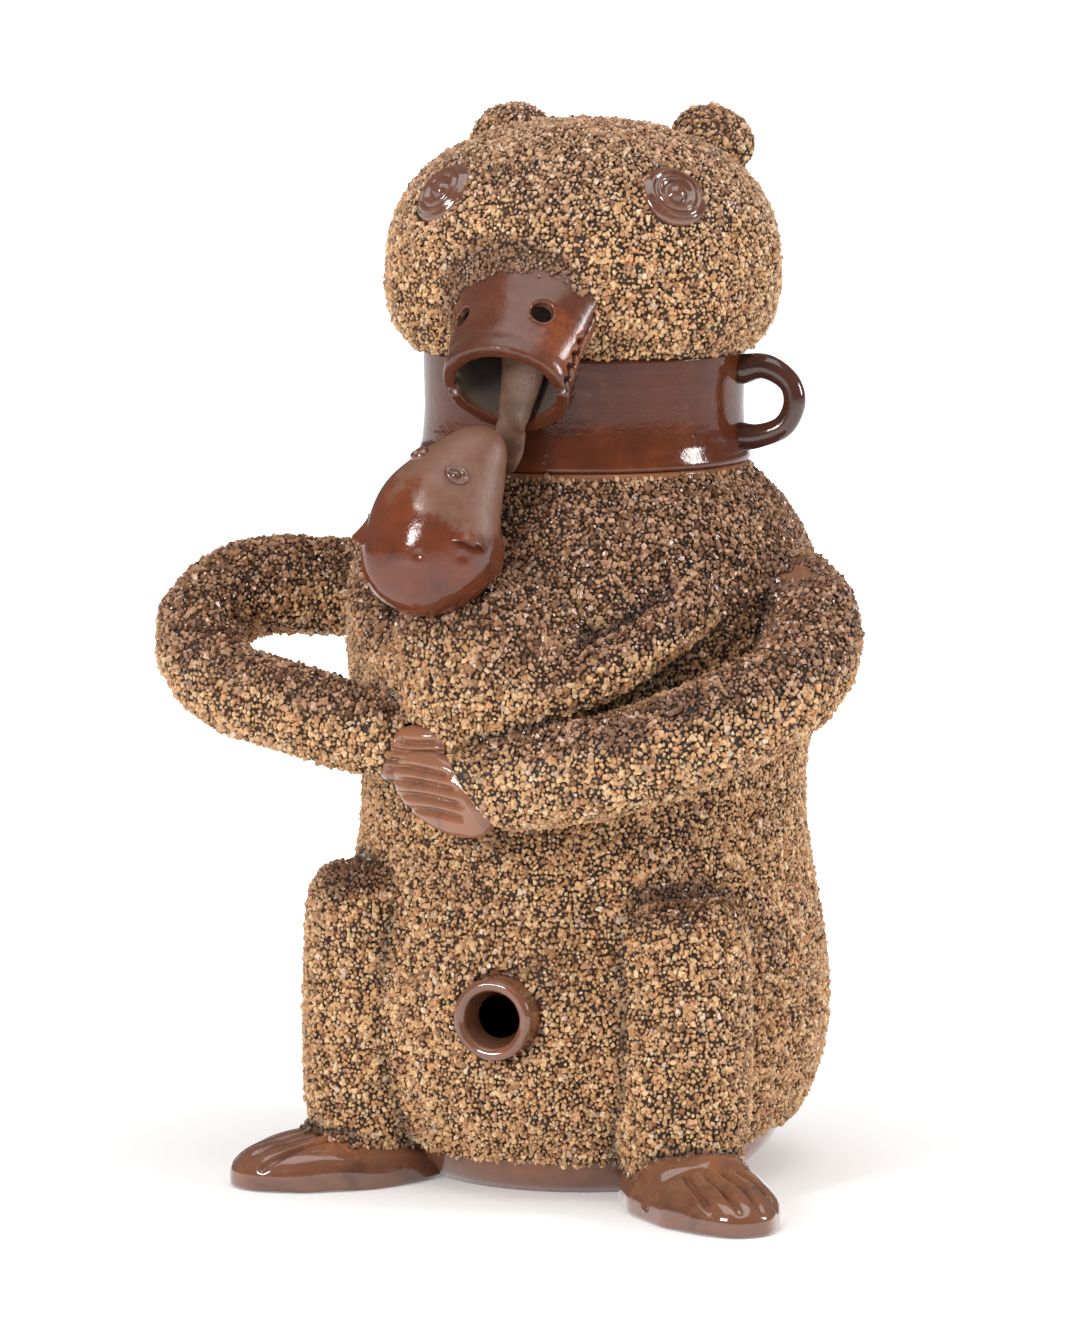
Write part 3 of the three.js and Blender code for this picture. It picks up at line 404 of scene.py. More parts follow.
# The gap colours are painted shade, with some pooled glaze, for the foot of each crumb.
LOW_GAP_SHADE, UPPER_GAP_SHADE, HEAD_GAP_SHADE = paint(68, 47, 33), paint(38, 26, 20), paint(74, 50, 36)
# SPOTS_AND_CREASE_SHADE is the colour of dark spots at random and of the painted shade in creases.
MELTED_COLOUR, STAIN, SPOTS_AND_CREASE_SHADE = paint(124, 90, 72), paint(120, 86, 62), paint(44, 38, 40)
MUZZLE_ROOT, PER_MUZZLE_SIZE = (-0.004, -0.062, 0.351), (29, 14, 38)
MELTED_SPOTS = [
    ((0.098, -0.026, 0.243), 0.014),
    ((0.066, -0.062, 0.120), 0.008),
    ((0.054, -0.072, 0.120), 0.008),
    ((-0.072, -0.074, 0.121), 0.009),
    ((0.056, -0.114, 0.190), 0.008),
    ((0.076, -0.102, 0.201), 0.008),
]


def tone_ramp(tree, tone, stops):
    return colour_ramp(tree, tone, [(position, paint(*screen)) for position, screen in stops])


def melted_share(tree, place, drifts):
    """Glaze has run together on the crumbs round the muzzle's root and at a few spots."""
    near = vector_maths(tree, "SUBTRACT", place, MUZZLE_ROOT)
    near = vector_maths(tree, "LENGTH", vector_maths(tree, "MULTIPLY", near, PER_MUZZLE_SIZE))
    near = plus(tree, near, ranged(tree, drifts, 0.2, 0.8, 0.04, 0.24))
    for middle, size in MELTED_SPOTS:
        away = vector_maths(tree, "DISTANCE", place, middle)
        away = plus(tree, away, ranged(tree, drifts, 0.2, 0.8, -0.005, 0.005))
        near = maths(tree, "MINIMUM", near, maths(tree, "DIVIDE", away, size))
    return ranged(tree, near, 1.16, 0.96)


def crumb_material():
    material, tree, surface = new_material("crumbs")
    place = object_place(tree)
    tone, facing, proud, crease = [kept_number(tree, n) for n in ("tone", "facing_up", "proud", "crease")]
    height = axes(tree, place)["Z"]
    drifts = clouds(tree, place, 0.030, 4.0, 0.6)
    head = ranged(tree, height, HEAD_FROM, HEAD_TO)
    burnt = mixed(tree, head, tone_ramp(tree, tone, BURNT_JUG), tone_ramp(tree, tone, BURNT_HEAD))
    off_band = maths(tree, "ABSOLUTE", minus(tree, height, DARK_BAND_HEIGHT))
    top = plus(tree, facing, times(tree, minus(tree, drifts, 0.5), 1.6))
    # darker crumbs in a band round the arms and the dog
    top = plus(tree, top, ranged(tree, off_band, DARK_BAND_REACH, 0.0, 0.0, 0.4))
    colour = mixed(tree, ranged(tree, top, 0.0, 0.8, 0.0, 0.85), tone_ramp(tree, tone, OCHRE), burnt)
    melted = melted_share(tree, place, drifts)
    colour = mixed(tree, times(tree, melted, 0.75), colour, MELTED_COLOUR)
    stain = clouds(tree, place, 0.0012, 2.0)
    colour = mixed(tree, ranged(tree, stain, 0.42, 0.72, 0.0, 0.45), colour, STAIN, "MULTIPLY")
    spots_and_crease_shade = ranged(tree, clouds(tree, place, 0.012, 5.0, 0.7, 0.8), 0.60, 0.72, 0.0, 0.5)
    # painted shade in the creases, added to the random dark spots
    spots_and_crease_shade = plus(tree, spots_and_crease_shade, times(tree, crease, ranged(tree, drifts, 0.25, 0.6, 0.6, 1.0)))
    spots_and_crease_shade = times(tree, spots_and_crease_shade, ranged(tree, melted, 0.0, 1.0, 1.0, 0.35))
    colour = mixed(tree, ranged(tree, spots_and_crease_shade, 0.0, 1.0, 0.0, 0.72), colour, SPOTS_AND_CREASE_SHADE)
    wavy = plus(tree, height, ranged(tree, drifts, 0.2, 0.8, -0.03, 0.03))
    upper = ranged(tree, wavy, 0.11, 0.17)
    gap_shade = mixed(tree, head, mixed(tree, upper, LOW_GAP_SHADE, UPPER_GAP_SHADE), HEAD_GAP_SHADE)
    # painted shade: each crumb darkens towards its foot, more so on the upper jug
    foot = ranged(tree, proud, 0.0009, -0.0003)
    colour = mixed(tree, times(tree, foot, ranged(tree, upper, 0.0, 1.0, 0.75, 0.92)), colour, gap_shade)
    gloss = plus(tree, ranged(tree, top, -0.1, 0.7, 0.45, 0.14), ranged(tree, tone, 0.5, 1.0, 0.0, 0.12))
    relief = add(tree, "ShaderNodeBump", {"Height": stain, "Distance": 0.0004, "Strength": 0.5})
    tree.links.new(colour, surface.inputs["Base Color"])
    tree.links.new(mixed_number(tree, melted, gloss, 0.16), surface.inputs["Roughness"])
    tree.links.new(relief.outputs["Normal"], surface.inputs["Normal"])
    return material


crumbs = crumb_material()

# %% [markdown]
# ## Modelling tools
# Shapes are drawn in millimetres, as a potter measures, and scaled to metres when they are finished.
# A helper turns a bmesh into a named piece that rides on its body. Two shapes of this potter recur:
# what is turned on the wheel, and rolls of clay laid along a bent line.

# %% Finish a piece
MM = 0.001


def new_object(name, bm):
    mesh = bpy.data.meshes.new(name)
    bm.to_mesh(mesh)
    bm.free()
    return linked(bpy.data.objects.new(name, mesh))


def finish_piece(name, bm, material, body, replaces=(), metres=False):
    """A bmesh becomes a smooth piece at the origin that rides on a body of the model."""
    if not metres:
        bmesh.ops.scale(bm, vec=(MM, MM, MM), verts=bm.verts)
    for face in bm.faces:
        face.smooth = True
    made = new_object(name, bm)
    made.data.materials.append(material)
    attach(made, body)
    if replaces:
        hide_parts(*replaces)
    print(f"{name}: {len(made.data.polygons)} faces")
    return made


def discard(made):
    mesh = made.data
    bpy.data.objects.remove(made)
    bpy.data.meshes.remove(mesh)


def evaluated_mesh(made):
    """A mesh of the object with its modifiers applied."""
    graph = bpy.context.evaluated_depsgraph_get()
    return bpy.data.meshes.new_from_object(made.evaluated_get(graph))


def settled(made):
    """A bmesh of the object with its modifiers applied. The object is removed."""
    mesh = evaluated_mesh(made)
    bm = bmesh.new()
    bm.from_mesh(mesh)
    bpy.data.meshes.remove(mesh)
    discard(made)
    return bm


def modified(bm, kind, **settings):
    made = new_object("clay", bm)
    change = made.modifiers.new("change", kind)
    for name, value in settings.items():
        setattr(change, name, value)
    return settled(made)


def voxelled(bm, size):
    """Fuses what overlaps into one skin of small even faces."""
    return modified(bm, "REMESH", mode="VOXEL", voxel_size=size)


def carved(bm, *cutters):
    tools = [new_object(f"tool_{i}", cutter) for i, cutter in enumerate(cutters)]
    for tool in tools:
        bm = modified(bm, "BOOLEAN", operation="DIFFERENCE", solver="EXACT", object=tool)
        discard(tool)
    return bm


def wetted(bm, rounds, factor=0.5):
    """Softens edges as a wet sponge does."""
    every_axis = {"use_axis_x": True, "use_axis_y": True, "use_axis_z": True}
    for _ in range(rounds):
        bmesh.ops.smooth_vert(bm, verts=bm.verts, factor=factor, **every_axis)
    return bm


def rotated(bm, degrees, axis, centre=(0, 0, 0)):
    matrix = Matrix.Rotation(math.radians(degrees), 3, axis)
    bmesh.ops.rotate(bm, cent=centre, matrix=matrix, verts=bm.verts)
    return bm


def outwards(bm):
    bmesh.ops.remove_doubles(bm, verts=bm.verts, dist=1e-4)
    bmesh.ops.recalc_face_normals(bm, faces=bm.faces)
    return bm


# %% Turned shapes


def turned(profile, steps=96, closed=False):
    """Spins [radius, height] pairs round the upright axis."""
    bm = bmesh.new()
    corners = [bm.verts.new((radius, 0, height)) for radius, height in profile]
    pairs = list(zip(corners, corners[1:]))
    if closed:
        pairs.append((corners[-1], corners[0]))
    edges = [bm.edges.new(pair) for pair in pairs]
    bmesh.ops.spin(
        bm, geom=corners + edges, axis=(0, 0, 1), cent=(0, 0, 0), angle=math.tau, steps=steps, use_merge=True
    )
    return outwards(bm)


def mix(first, second, share):
    return first + (second - first) * share


def smooth(value, low, high):
    share = min(max((value - low) / (high - low), 0.0), 1.0)
    return share * share * (3 - 2 * share)


# %% Rolls of clay


def eased(start, end, leave, arrive, t):
    """A cubic between two values that leaves one and arrives at the other at given slopes."""
    ends = start * (2 * t**3 - 3 * t**2 + 1) + end * (3 * t**2 - 2 * t**3)
    return ends + leave * (t**3 - 2 * t**2 + t) + arrive * (t**3 - t**2)


class SmoothLine:
    """A centripetal Catmull-Rom curve through some points, measured by its length."""

    def __init__(self, points, steps=24):
        points = [Vector(p) for p in points]
        ends = [points[0] * 2 - points[1], *points, points[-1] * 2 - points[-2]]
        self.dots = []
        for a, b, c, d in zip(ends, ends[1:], ends[2:], ends[3:]):
            first, middle, last = ((q - p).length ** 0.5 or 1.0 for p, q in ((a, b), (b, c), (c, d)))
            leave = ((b - a) / first - (c - a) / (first + middle) + (c - b) / middle) * middle
            arrive = ((c - b) / middle - (d - b) / (middle + last) + (d - c) / last) * middle
            self.dots += [eased(b, c, leave, arrive, i / steps) for i in range(steps)]
        self.dots.append(points[-1])
        self.marks = [0.0]
        for p, q in zip(self.dots, self.dots[1:]):
            self.marks.append(self.marks[-1] + (q - p).length)
        self.length = self.marks[-1]

    def at(self, share):
        wanted = min(max(share, 0.0), 1.0) * self.length
        i = 1
        while i < len(self.marks) - 1 and self.marks[i] < wanted:
            i += 1
        part = (wanted - self.marks[i - 1]) / max(self.marks[i] - self.marks[i - 1], 1e-9)
        return self.dots[i - 1].lerp(self.dots[i], part)

    def along(self, share):
        return (self.at(share + 0.004) - self.at(share - 0.004)).normalized()


def roll(points, radii, up=(0, 0, 1), flat=1.0, bluntness=2.0, sides=36, rings=44):
    """A sphere whose rings are carried along a line. Radii run along it, and flat squeezes it."""
    line = SmoothLine(points)
    up = Vector(up)
    bm = bmesh.new()
    bmesh.ops.create_uvsphere(bm, u_segments=sides, v_segments=rings, radius=1)
    stations = {}

    def girth(share):
        spot = share * (len(radii) - 1)
        first = min(int(spot), len(radii) - 2)
        before, after = radii[max(first - 1, 0)], radii[min(first + 2, len(radii) - 1)]
        start, end = radii[first], radii[first + 1]
        return eased(start, end, (end - before) / 2, (after - start) / 2, spot - first)

    def round_end(away, radius):
        return 1.0 if away >= radius else (1 - (1 - away / radius) ** bluntness) ** (1 / bluntness)

    for vert in bm.verts:
        height = min(max(vert.co.z, -1.0), 1.0)
        key = round(height, 5)
        if key not in stations:
            share = (1 - height) / 2
            along = line.along(share)
            across = along.cross(up).normalized()
            ends = round_end(share * line.length, girth(0)) * round_end((1 - share) * line.length, girth(1))
            pole = 0.0 if abs(height) > 0.99999 else 1.0
            stations[key] = (line.at(share), across, across.cross(along), girth(share) * ends * pole)
        middle, across, over, radius = stations[key]
        spin = math.atan2(vert.co.y, vert.co.x)
        vert.co = middle + across * (radius * math.cos(spin)) + over * (radius * flat * math.sin(spin))
    return outwards(bm)


def uneven(bm, size, amount, seed=0):
    """Pushes the surface in and out a little, as fingers leave it. Sizes are in millimetres."""
    bm.normal_update()
    offset = Vector((seed * 17.3, seed * 5.1, seed * 9.7))
    moves = [(v, v.normal * (noise.noise(v.co / size + offset) * amount)) for v in bm.verts]
    for vert, move in moves:
        vert.co += move
    return bm


# %% [markdown]
# ## The thrown pot
# The trunk is one pot with a wide hip, a narrow waist and a neck that stands inside the loose cup.
# Its wall is spun as a closed profile and drilled for the bung. It shows below the coat, round its
# shoulder and through the bung hole, so it is glazed brown.

# %% Pot
SEAT, LEDGE_DROP = 283.0, 4.0
FOOT_RADIUS, HIP_RADIUS, WAIST_RADIUS, CHEST_RADIUS, LEDGE_RADIUS = 65.0, 97.0, 87.0, 93.0, 65.5
HIP_HEIGHT, WAIST_HEIGHT, CHEST_HEIGHT = 70.0, 152.0, 212.0
POT_WALL, FLOOR_THICKNESS, COAT_DEPTH = 7.0, 9.0, 1.5
NECK_RADIUS, NECK_WALL, NECK_HEIGHT = 57.5, 5.0, 18.0
BUNG_HEIGHT, BUNG_BORE, BUNG_COLLAR_WALL, BUNG_REACH = 74.5, 10.8, 5.2, 8.5


def pot_radius(height):
    if height < HIP_HEIGHT:
        return HIP_RADIUS - (HIP_RADIUS - FOOT_RADIUS) * (1 - height / HIP_HEIGHT) ** 2.4
    if height < WAIST_HEIGHT:
        return mix(HIP_RADIUS, WAIST_RADIUS, smooth(height, HIP_HEIGHT, WAIST_HEIGHT))
    if height < CHEST_HEIGHT:
        return mix(WAIST_RADIUS, CHEST_RADIUS, smooth(height, WAIST_HEIGHT, CHEST_HEIGHT))
    rise = min((height - CHEST_HEIGHT) / (SEAT - LEDGE_DROP - CHEST_HEIGHT), 1)
    return LEDGE_RADIUS + (CHEST_RADIUS - LEDGE_RADIUS) * (1 - rise**3.1)


def on_pot(angle, standoff, height):
    return around(angle, pot_radius(height) + standoff, height)


def pot_outline(under=0.0, steps=72):
    """The pot's outline, sunk by some depth where the coat lies over it."""
    top = SEAT - LEDGE_DROP
    heights = [top * i / steps for i in range(steps + 1)]
    depths = [under * smooth(h, 8, 18) * (1 - smooth(h, top - 8, top - 1)) for h in heights]
    return [(pot_radius(h) - d, h) for h, d in zip(heights, depths)] + [(LEDGE_RADIUS, SEAT - 0.8)]


def thrown_pot():
    bore = NECK_RADIUS - NECK_WALL
    neck_top = SEAT + NECK_HEIGHT
    under_seat = SEAT - POT_WALL
    neck = [
        (LEDGE_RADIUS - 0.8, SEAT),
        (NECK_RADIUS + 1, SEAT),
        (NECK_RADIUS, SEAT + 1),
        (NECK_RADIUS, neck_top - 2),
        (NECK_RADIUS - 0.6, neck_top - 0.6),
        (NECK_RADIUS - 2, neck_top),
        (bore + 2, neck_top),
        (bore + 0.6, neck_top - 0.6),
        (bore, neck_top - 2),
        (bore, under_seat + 2),
    ]
    heights = [mix(FLOOR_THICKNESS, under_seat, i / 30) for i in range(31)]
    inner = [(max(pot_radius(h + 4) - POT_WALL, bore), h) for h in reversed(heights)]
    profile = [(0, 0), *pot_outline(COAT_DEPTH), *neck, *inner, (0, FLOOR_THICKNESS)]
    drill = bmesh.new()
    bore_size = {"radius1": BUNG_BORE, "radius2": BUNG_BORE, "depth": HIP_RADIUS * 1.2}
    bmesh.ops.create_cone(drill, cap_ends=True, segments=48, **bore_size)
    rotated(drill, 90, "X")
    bmesh.ops.translate(drill, vec=(0, -HIP_RADIUS * 0.6, BUNG_HEIGHT), verts=drill.verts)
    return carved(turned(profile, 128), drill)


finish_piece("glazed_pot", thrown_pot(), body_glaze, "jug", ["thrown_pot"])

# %% [markdown]
# ## The bung collar
# A ring of clay is luted round the bung hole. It has a flat front between a rounded lip and the bore.
# The ring's section is spun, laid on its side and set into the belly.

# %% Bung collar


def bung_collar():
    outside = BUNG_BORE + BUNG_COLLAR_WALL
    root = pot_radius(BUNG_HEIGHT) - POT_WALL
    front = pot_radius(BUNG_HEIGHT) + BUNG_REACH
    ring = [
        (BUNG_BORE, root),
        (outside + 0.6, root + 4),
        (outside + 0.2, front - 6),
        (outside - 0.1, front - 4.4),
        (outside, front - 2.6),
        (outside - 0.4, front - 1.2),
        (outside - 1.3, front - 0.3),
        (outside - 2.2, front),
        (BUNG_BORE + 1.8, front - 0.4),
        (BUNG_BORE + 0.9, front - 1.0),
        (BUNG_BORE + 0.3, front - 2.2),
        (BUNG_BORE, front - 4.5),
    ]
    bm = rotated(turned(ring, 72, closed=True), 90, "X")
    bmesh.ops.translate(bm, vec=(0, 0, BUNG_HEIGHT), verts=bm.verts)
    bmesh.ops.subdivide_edges(bm, edges=bm.edges, cuts=1, use_grid_fill=True, smooth=0.6)
    return uneven(bm, 9, 0.5, 3)


finish_piece("glazed_bung_collar", bung_collar(), foot_glaze, "jug", ["bung_collar"])

# %% [markdown]
# ## The cup
# The loose head is closed at the crown and open below, and its wall is a thrown cup. The profile
# flares at the rim that it stands on, and faint grooves from the wheel are part of it.

# %% Cup wall
COVER_TURN = 6.0
MUZZLE_TURN, MUZZLE_ROLL = -0.3, 4.0
CUP_WALL, CUP_HEIGHT = 4.8, 44.0
CUP_RIM_SWELL, CUP_RIM_HEIGHT, CUP_WAIST = 1.8, 9.0, 0.9
CUP_RADIUS = NECK_RADIUS + 1.8 + CUP_WALL
CUP_TOP = SEAT + CUP_HEIGHT
SEAM = 0.3


def turn_cover(bm, degrees=COVER_TURN):
    return rotated(bm, degrees, "Z")


def cup_wall():
    bore, rim = CUP_RADIUS - CUP_WALL, SEAT + SEAM
    edge = CUP_RADIUS + CUP_RIM_SWELL
    bead = [(bore, rim + 1.6), (bore + 0.5, rim + 0.5), (bore + 1.5, rim)]
    bead += [(edge - 1.1, rim), (edge - 0.3, rim + 0.4)]
    wall = []
    for i in range(34):
        height = mix(rim + 1.2, CUP_TOP, i / 33)
        flare = CUP_RIM_SWELL * (1 - smooth(height - rim, 0.8, CUP_RIM_HEIGHT))
        waist = CUP_WAIST * smooth(height - rim, 5, 20) - 0.4 * smooth(height - rim, 22, CUP_HEIGHT)
        groove = 0.02 * math.sin(i * 2.4) + 0.02 * math.sin(i * 1.1)
        wall.append((CUP_RADIUS + flare - waist + groove, height))
    return turn_cover(turned([*bead, *wall, (bore, CUP_TOP)], 144, closed=True))


finish_piece("glazed_cup", cup_wall(), cup_glaze, "head_cover", ["cup_wall"])

# %% Cup handle
HANDLE_THICKNESS, HANDLE_REACH = 8.8, 25.5


def cup_handle():
    low, high = SEAT + 10, CUP_TOP - 7
    out = CUP_RADIUS + HANDLE_REACH - HANDLE_THICKNESS / 2
    middle = mix(low, high, 0.5)
    line = [
        (CUP_RADIUS - CUP_WALL + 1.5, high - 1),
        (CUP_RADIUS + HANDLE_REACH * 0.34, high + 1),
        (mix(CUP_RADIUS, out, 0.9), mix(middle, high, 0.62)),
        (out, middle),
        (mix(CUP_RADIUS, out, 0.8), mix(middle, low, 0.66)),
        (CUP_RADIUS + HANDLE_REACH * 0.26, low + 0.5),
        (CUP_RADIUS - CUP_WALL + 1.5, low),
    ]
    half = HANDLE_THICKNESS / 2
    girth = [half * share for share in (1.5, 1.15, 1.0, 0.96, 1.0, 1.05, 1.4)]
    bm = roll([around(90, r, h) for r, h in line], girth, up=around(180, 1, 0), bluntness=4, rings=64)
    return turn_cover(uneven(bm, 14, 0.5, 5))


finish_piece("glazed_handle", cup_handle(), handle_glaze, "head_cover", ["cup_handle"])

# %% [markdown]
# ## The head's form
# The head was thrown as a dome, and jowls were pushed out beside the muzzle. Its form is given here
# as a function, because the eyes sit on it.

# %% Head form
HEAD_WIDTH, HEAD_DEPTH, HEAD_HEIGHT, HEAD_WIDEST_AT = 154.0, 146.0, 89.5, 0.36
JOWL_SWELL, JOWL_SPREAD = 4.0, 26.0


def head_share(height):
    rise = min(max((height - CUP_TOP) / HEAD_HEIGHT, 0), 1)
    if rise < HEAD_WIDEST_AT:
        root = CUP_RADIUS / (HEAD_WIDTH / 2)
        return root + (1 - root) * math.sqrt(1 - (1 - rise / HEAD_WIDEST_AT) ** 2.4)
    return (1 - ((rise - HEAD_WIDEST_AT) / (1 - HEAD_WIDEST_AT)) ** 2.5) ** (1 / 2.1)


def head_swell(angle, height):
    def lump(at_angle, wide):
        aside = math.radians(angle - at_angle) * HEAD_WIDTH / 2
        rise = height - (CUP_TOP + HEAD_HEIGHT * 0.22)
        return math.exp(-(aside * aside + rise * rise) / (wide * wide))

    jowls = lump(52, JOWL_SPREAD) + lump(-52, JOWL_SPREAD)
    clefts = lump(28, JOWL_SPREAD / 2) + lump(-28, JOWL_SPREAD / 2)
    return JOWL_SWELL * (jowls - clefts * 0.7)


def on_head(angle, standoff, height):
    share = head_share(height)
    swell = head_swell(angle, height) * min(share * 1.5, 1) + standoff
    spot = around(angle, 1, height)
    spot.x *= HEAD_WIDTH / 2 * share + swell
    spot.y *= HEAD_DEPTH / 2 * share + swell
    return spot


def head_normal(angle, height):
    side = on_head(angle + 2, 0, height) - on_head(angle - 2, 0, height)
    rise = on_head(angle, 0, height + 2) - on_head(angle, 0, height - 2)
    return side.cross(rise).normalized()


def laid(bm, place, across, over, out):
    """Lays a shape with its X, Y and Z along three directions at a place."""
    lie = Matrix((across, over, out)).transposed().to_4x4()
    bmesh.ops.transform(bm, matrix=Matrix.Translation(place) @ lie, verts=bm.verts)
    return bm


def facing(bm, place, out, upward=(0, 0, 1)):
    """Turns a shape that faces +Z to face out from a place."""
    out = Vector(out).normalized()
    across = Vector(upward).cross(out).normalized()
    return laid(bm, place, across, out.cross(across).normalized(), out)


# %% Bear's eyes
EYE_RADIUS, EYE_RELIEF, EYE_ANGLE, EYE_RISE, EYE_SHIFT = 11.0, 3.2, 43.0, 0.715, 1.5


def bear_eye(side):
    """A pupil inside two raised rings, stamped in a button of clay."""
    relief = [
        (0.0, 1.1), (0.12, 1.06), (0.22, 0.92), (0.30, 0.64), (0.35, 0.34), (0.39, 0.22), (0.46, 0.26),
        (0.54, 0.38), (0.60, 0.58), (0.66, 0.74), (0.71, 0.68), (0.75, 0.44), (0.79, 0.30), (0.84, 0.34),
        (0.89, 0.50), (0.94, 0.52), (0.99, 0.36), (1.05, 0.14), (1.14, 0.0), (1.24, -0.5),
    ]
    profile = [(out * EYE_RADIUS, EYE_RELIEF * rise) for out, rise in relief]
    profile += [(EYE_RADIUS * 1.1, -EYE_RELIEF * 1.6), (0, -EYE_RELIEF * 1.6)]
    height = CUP_TOP + HEAD_HEIGHT * EYE_RISE
    angle = side * EYE_ANGLE + EYE_SHIFT
    bm = facing(turned(profile, 56), on_head(angle, 0, height), head_normal(angle, height))
    return turn_cover(uneven(bm, 7, 0.3, 2 + side))


for name, side in (("right_eye", -1), ("left_eye", 1)):
    finish_piece(f"glazed_{name}", bear_eye(side), eye_glaze, "head_cover", [name])

# %% [markdown]
# ## The muzzle
# The muzzle is two half tubes that close on a toothed seam, and the open end is the bear's mouth. Each
# jaw starts as a grid bent over the seam, gets its wall by an extrusion, and is then carved: two
# nostrils and a row of notches. A fine voxel remesh and a few rounds of smoothing round every edge.

# %% Jaws
MUZZLE_ROOT_WIDTH, MUZZLE_LIP_WIDTH, MUZZLE_WALL = 63.0, 49.0, 4.0
MUZZLE_ROOT_HEIGHT, MUZZLE_LIP_HEIGHT, MUZZLE_REACH = 66.0, 34.5, 24.0
MUZZLE_ROOT_ARCH, MUZZLE_ARCH, MUZZLE_OVERHANG = 23.0, 16.5, 14.0
CHIN_ROOT_DROP, CHIN_DROP, CHIN_SETBACK = 21.0, 17.0, 15.0
TOOTH_PITCH, TOOTH_HEIGHT = 5.8, 2.4
NOSTRIL_RADIUS, NOSTRIL_ANGLE, NOSTRIL_SWING = 4.2, 40.0, -4.0

jaw_root = Vector((0, -(CUP_RADIUS + 1), SEAT + MUZZLE_ROOT_HEIGHT))
jaw_lip = Vector((0, -(CUP_RADIUS + MUZZLE_REACH), SEAT + MUZZLE_LIP_HEIGHT))
jaw_along = (jaw_lip - jaw_root).normalized()
jaw_up = Vector((0, jaw_along.z, -jaw_along.y))
SNOUT_BOWS = Vector((0, -3, MUZZLE_ROOT_ARCH)), Vector((0, -MUZZLE_OVERHANG, MUZZLE_ARCH))
CHIN_BOWS = Vector((0, 1, -CHIN_ROOT_DROP)), Vector((0, CHIN_SETBACK, -CHIN_DROP))


def set_on(bm):
    """Rolls the muzzle a little about its jaw line and turns it, as it was luted on."""
    return turn_cover(rotated(bm, MUZZLE_ROLL, jaw_along, jaw_root), MUZZLE_TURN)


def jaw_sheet(inset, spring, bows, across, along):
    """A point on a jaw. Its arch rises by one bow at the root and by another at the lip."""
    turn = math.pi * (1 - across)
    bow = bows[0].lerp(bows[1], along)
    spot = jaw_root.lerp(jaw_lip, along) + jaw_up * spring
    spot.x = (mix(MUZZLE_ROOT_WIDTH, MUZZLE_LIP_WIDTH, along**0.8) / 2 - inset) * math.cos(turn)
    return spot + bow * (math.sin(turn) * (1 - inset / bow.length))


def snout_sheet(inset, across, along):
    return jaw_sheet(inset, 0, SNOUT_BOWS, across, along)


def chin_sheet(inset, across, along):
    return jaw_sheet(inset, -SEAM, CHIN_BOWS, across, along)


def jaw_place(spot):
    """How far along the muzzle a point lies, and how far out from its middle: 1 is the outside."""
    offset = spot - jaw_root
    bows = SNOUT_BOWS if offset.dot(jaw_up) > 0 else CHIN_BOWS
    along = 0.5
    for _ in range(6):
        bow = bows[0].lerp(bows[1], along)
        rise = offset.dot(jaw_up) / bow.dot(jaw_up)
        along = (offset.dot(jaw_along) - rise * bow.dot(jaw_along)) / (jaw_lip - jaw_root).length
    half = mix(MUZZLE_ROOT_WIDTH, MUZZLE_LIP_WIDTH, min(max(along, 0), 1) ** 0.8) / 2
    return along, math.hypot(offset.x / half, rise)


def lined(bm):
    """Marks the inner wall, which has no glaze."""
    layer = bm.verts.layers.float.new("lining")
    for vert in bm.verts:
        along, out = jaw_place(vert.co)
        vert[layer] = (1 - smooth(out, 0.86, 0.93)) * (1 - smooth(along, 0.86, 0.98))
    return bm


def double_sheet(x_steps, y_steps):
    """A grid and its extruded copy, whose vertices keep their place in the unit square."""
    bm = bmesh.new()
    bmesh.ops.create_grid(bm, x_segments=x_steps, y_segments=y_steps, size=0.5)
    place = bm.verts.layers.float_vector.new("place")
    for vert in bm.verts:
        vert[place] = (vert.co.x + 0.5, vert.co.y + 0.5, 0)
    grown = bmesh.ops.extrude_face_region(bm, geom=bm.faces[:])
    return bm, place, {v for v in grown["geom"] if isinstance(v, bmesh.types.BMVert)}


def jaw_slab(sheet, lip_swell):
    """A grid is laid on the outer sheet, and its extruded copy on the inner one."""
    bm, place, inner = double_sheet(56, 34)
    for vert in bm.verts:
        across, along, _ = vert[place]
        thick = lip_swell * smooth(along, 0.80, 0.93)
        vert.co = sheet(MUZZLE_WALL + thick * 0.5 if vert in inner else -thick, across, along)
    bmesh.ops.recalc_face_normals(bm, faces=bm.faces)
    return bm


def tooth_notches(spring, phase):
    """A row of blocks across the jaws. Each notches both walls where they meet."""
    blocks = bmesh.new()
    across = jaw_along.cross(jaw_up).normalized()
    lie = Matrix((across, jaw_along, jaw_up)).transposed().to_4x4()
    size = Matrix.Diagonal((MUZZLE_ROOT_WIDTH * 1.2, TOOTH_PITCH * 0.5, TOOTH_HEIGHT * 2, 1))
    for i in range(2, int((jaw_lip - jaw_root).length // TOOTH_PITCH)):
        spot = jaw_root + jaw_along * ((i + phase) * TOOTH_PITCH) + jaw_up * spring
        bmesh.ops.create_cube(blocks, size=1, matrix=Matrix.Translation(spot) @ lie @ size)
    bmesh.ops.recalc_face_normals(blocks, faces=blocks.faces)
    return blocks


def nostril_axis(side):
    turn = math.radians(90 - side * NOSTRIL_ANGLE - NOSTRIL_SWING)
    out = Vector((math.cos(turn), -0.75 + 0.2 * side, math.sin(turn) * 0.8)).normalized()
    return snout_sheet(MUZZLE_WALL / 2, 1 - turn / math.pi, 0.54), out


def nostril(side):
    bm = bmesh.new()
    radii = {"radius1": NOSTRIL_RADIUS, "radius2": NOSTRIL_RADIUS * 1.16}
    bmesh.ops.create_cone(bm, cap_ends=True, segments=28, depth=18, **radii)
    return facing(bm, *nostril_axis(side))


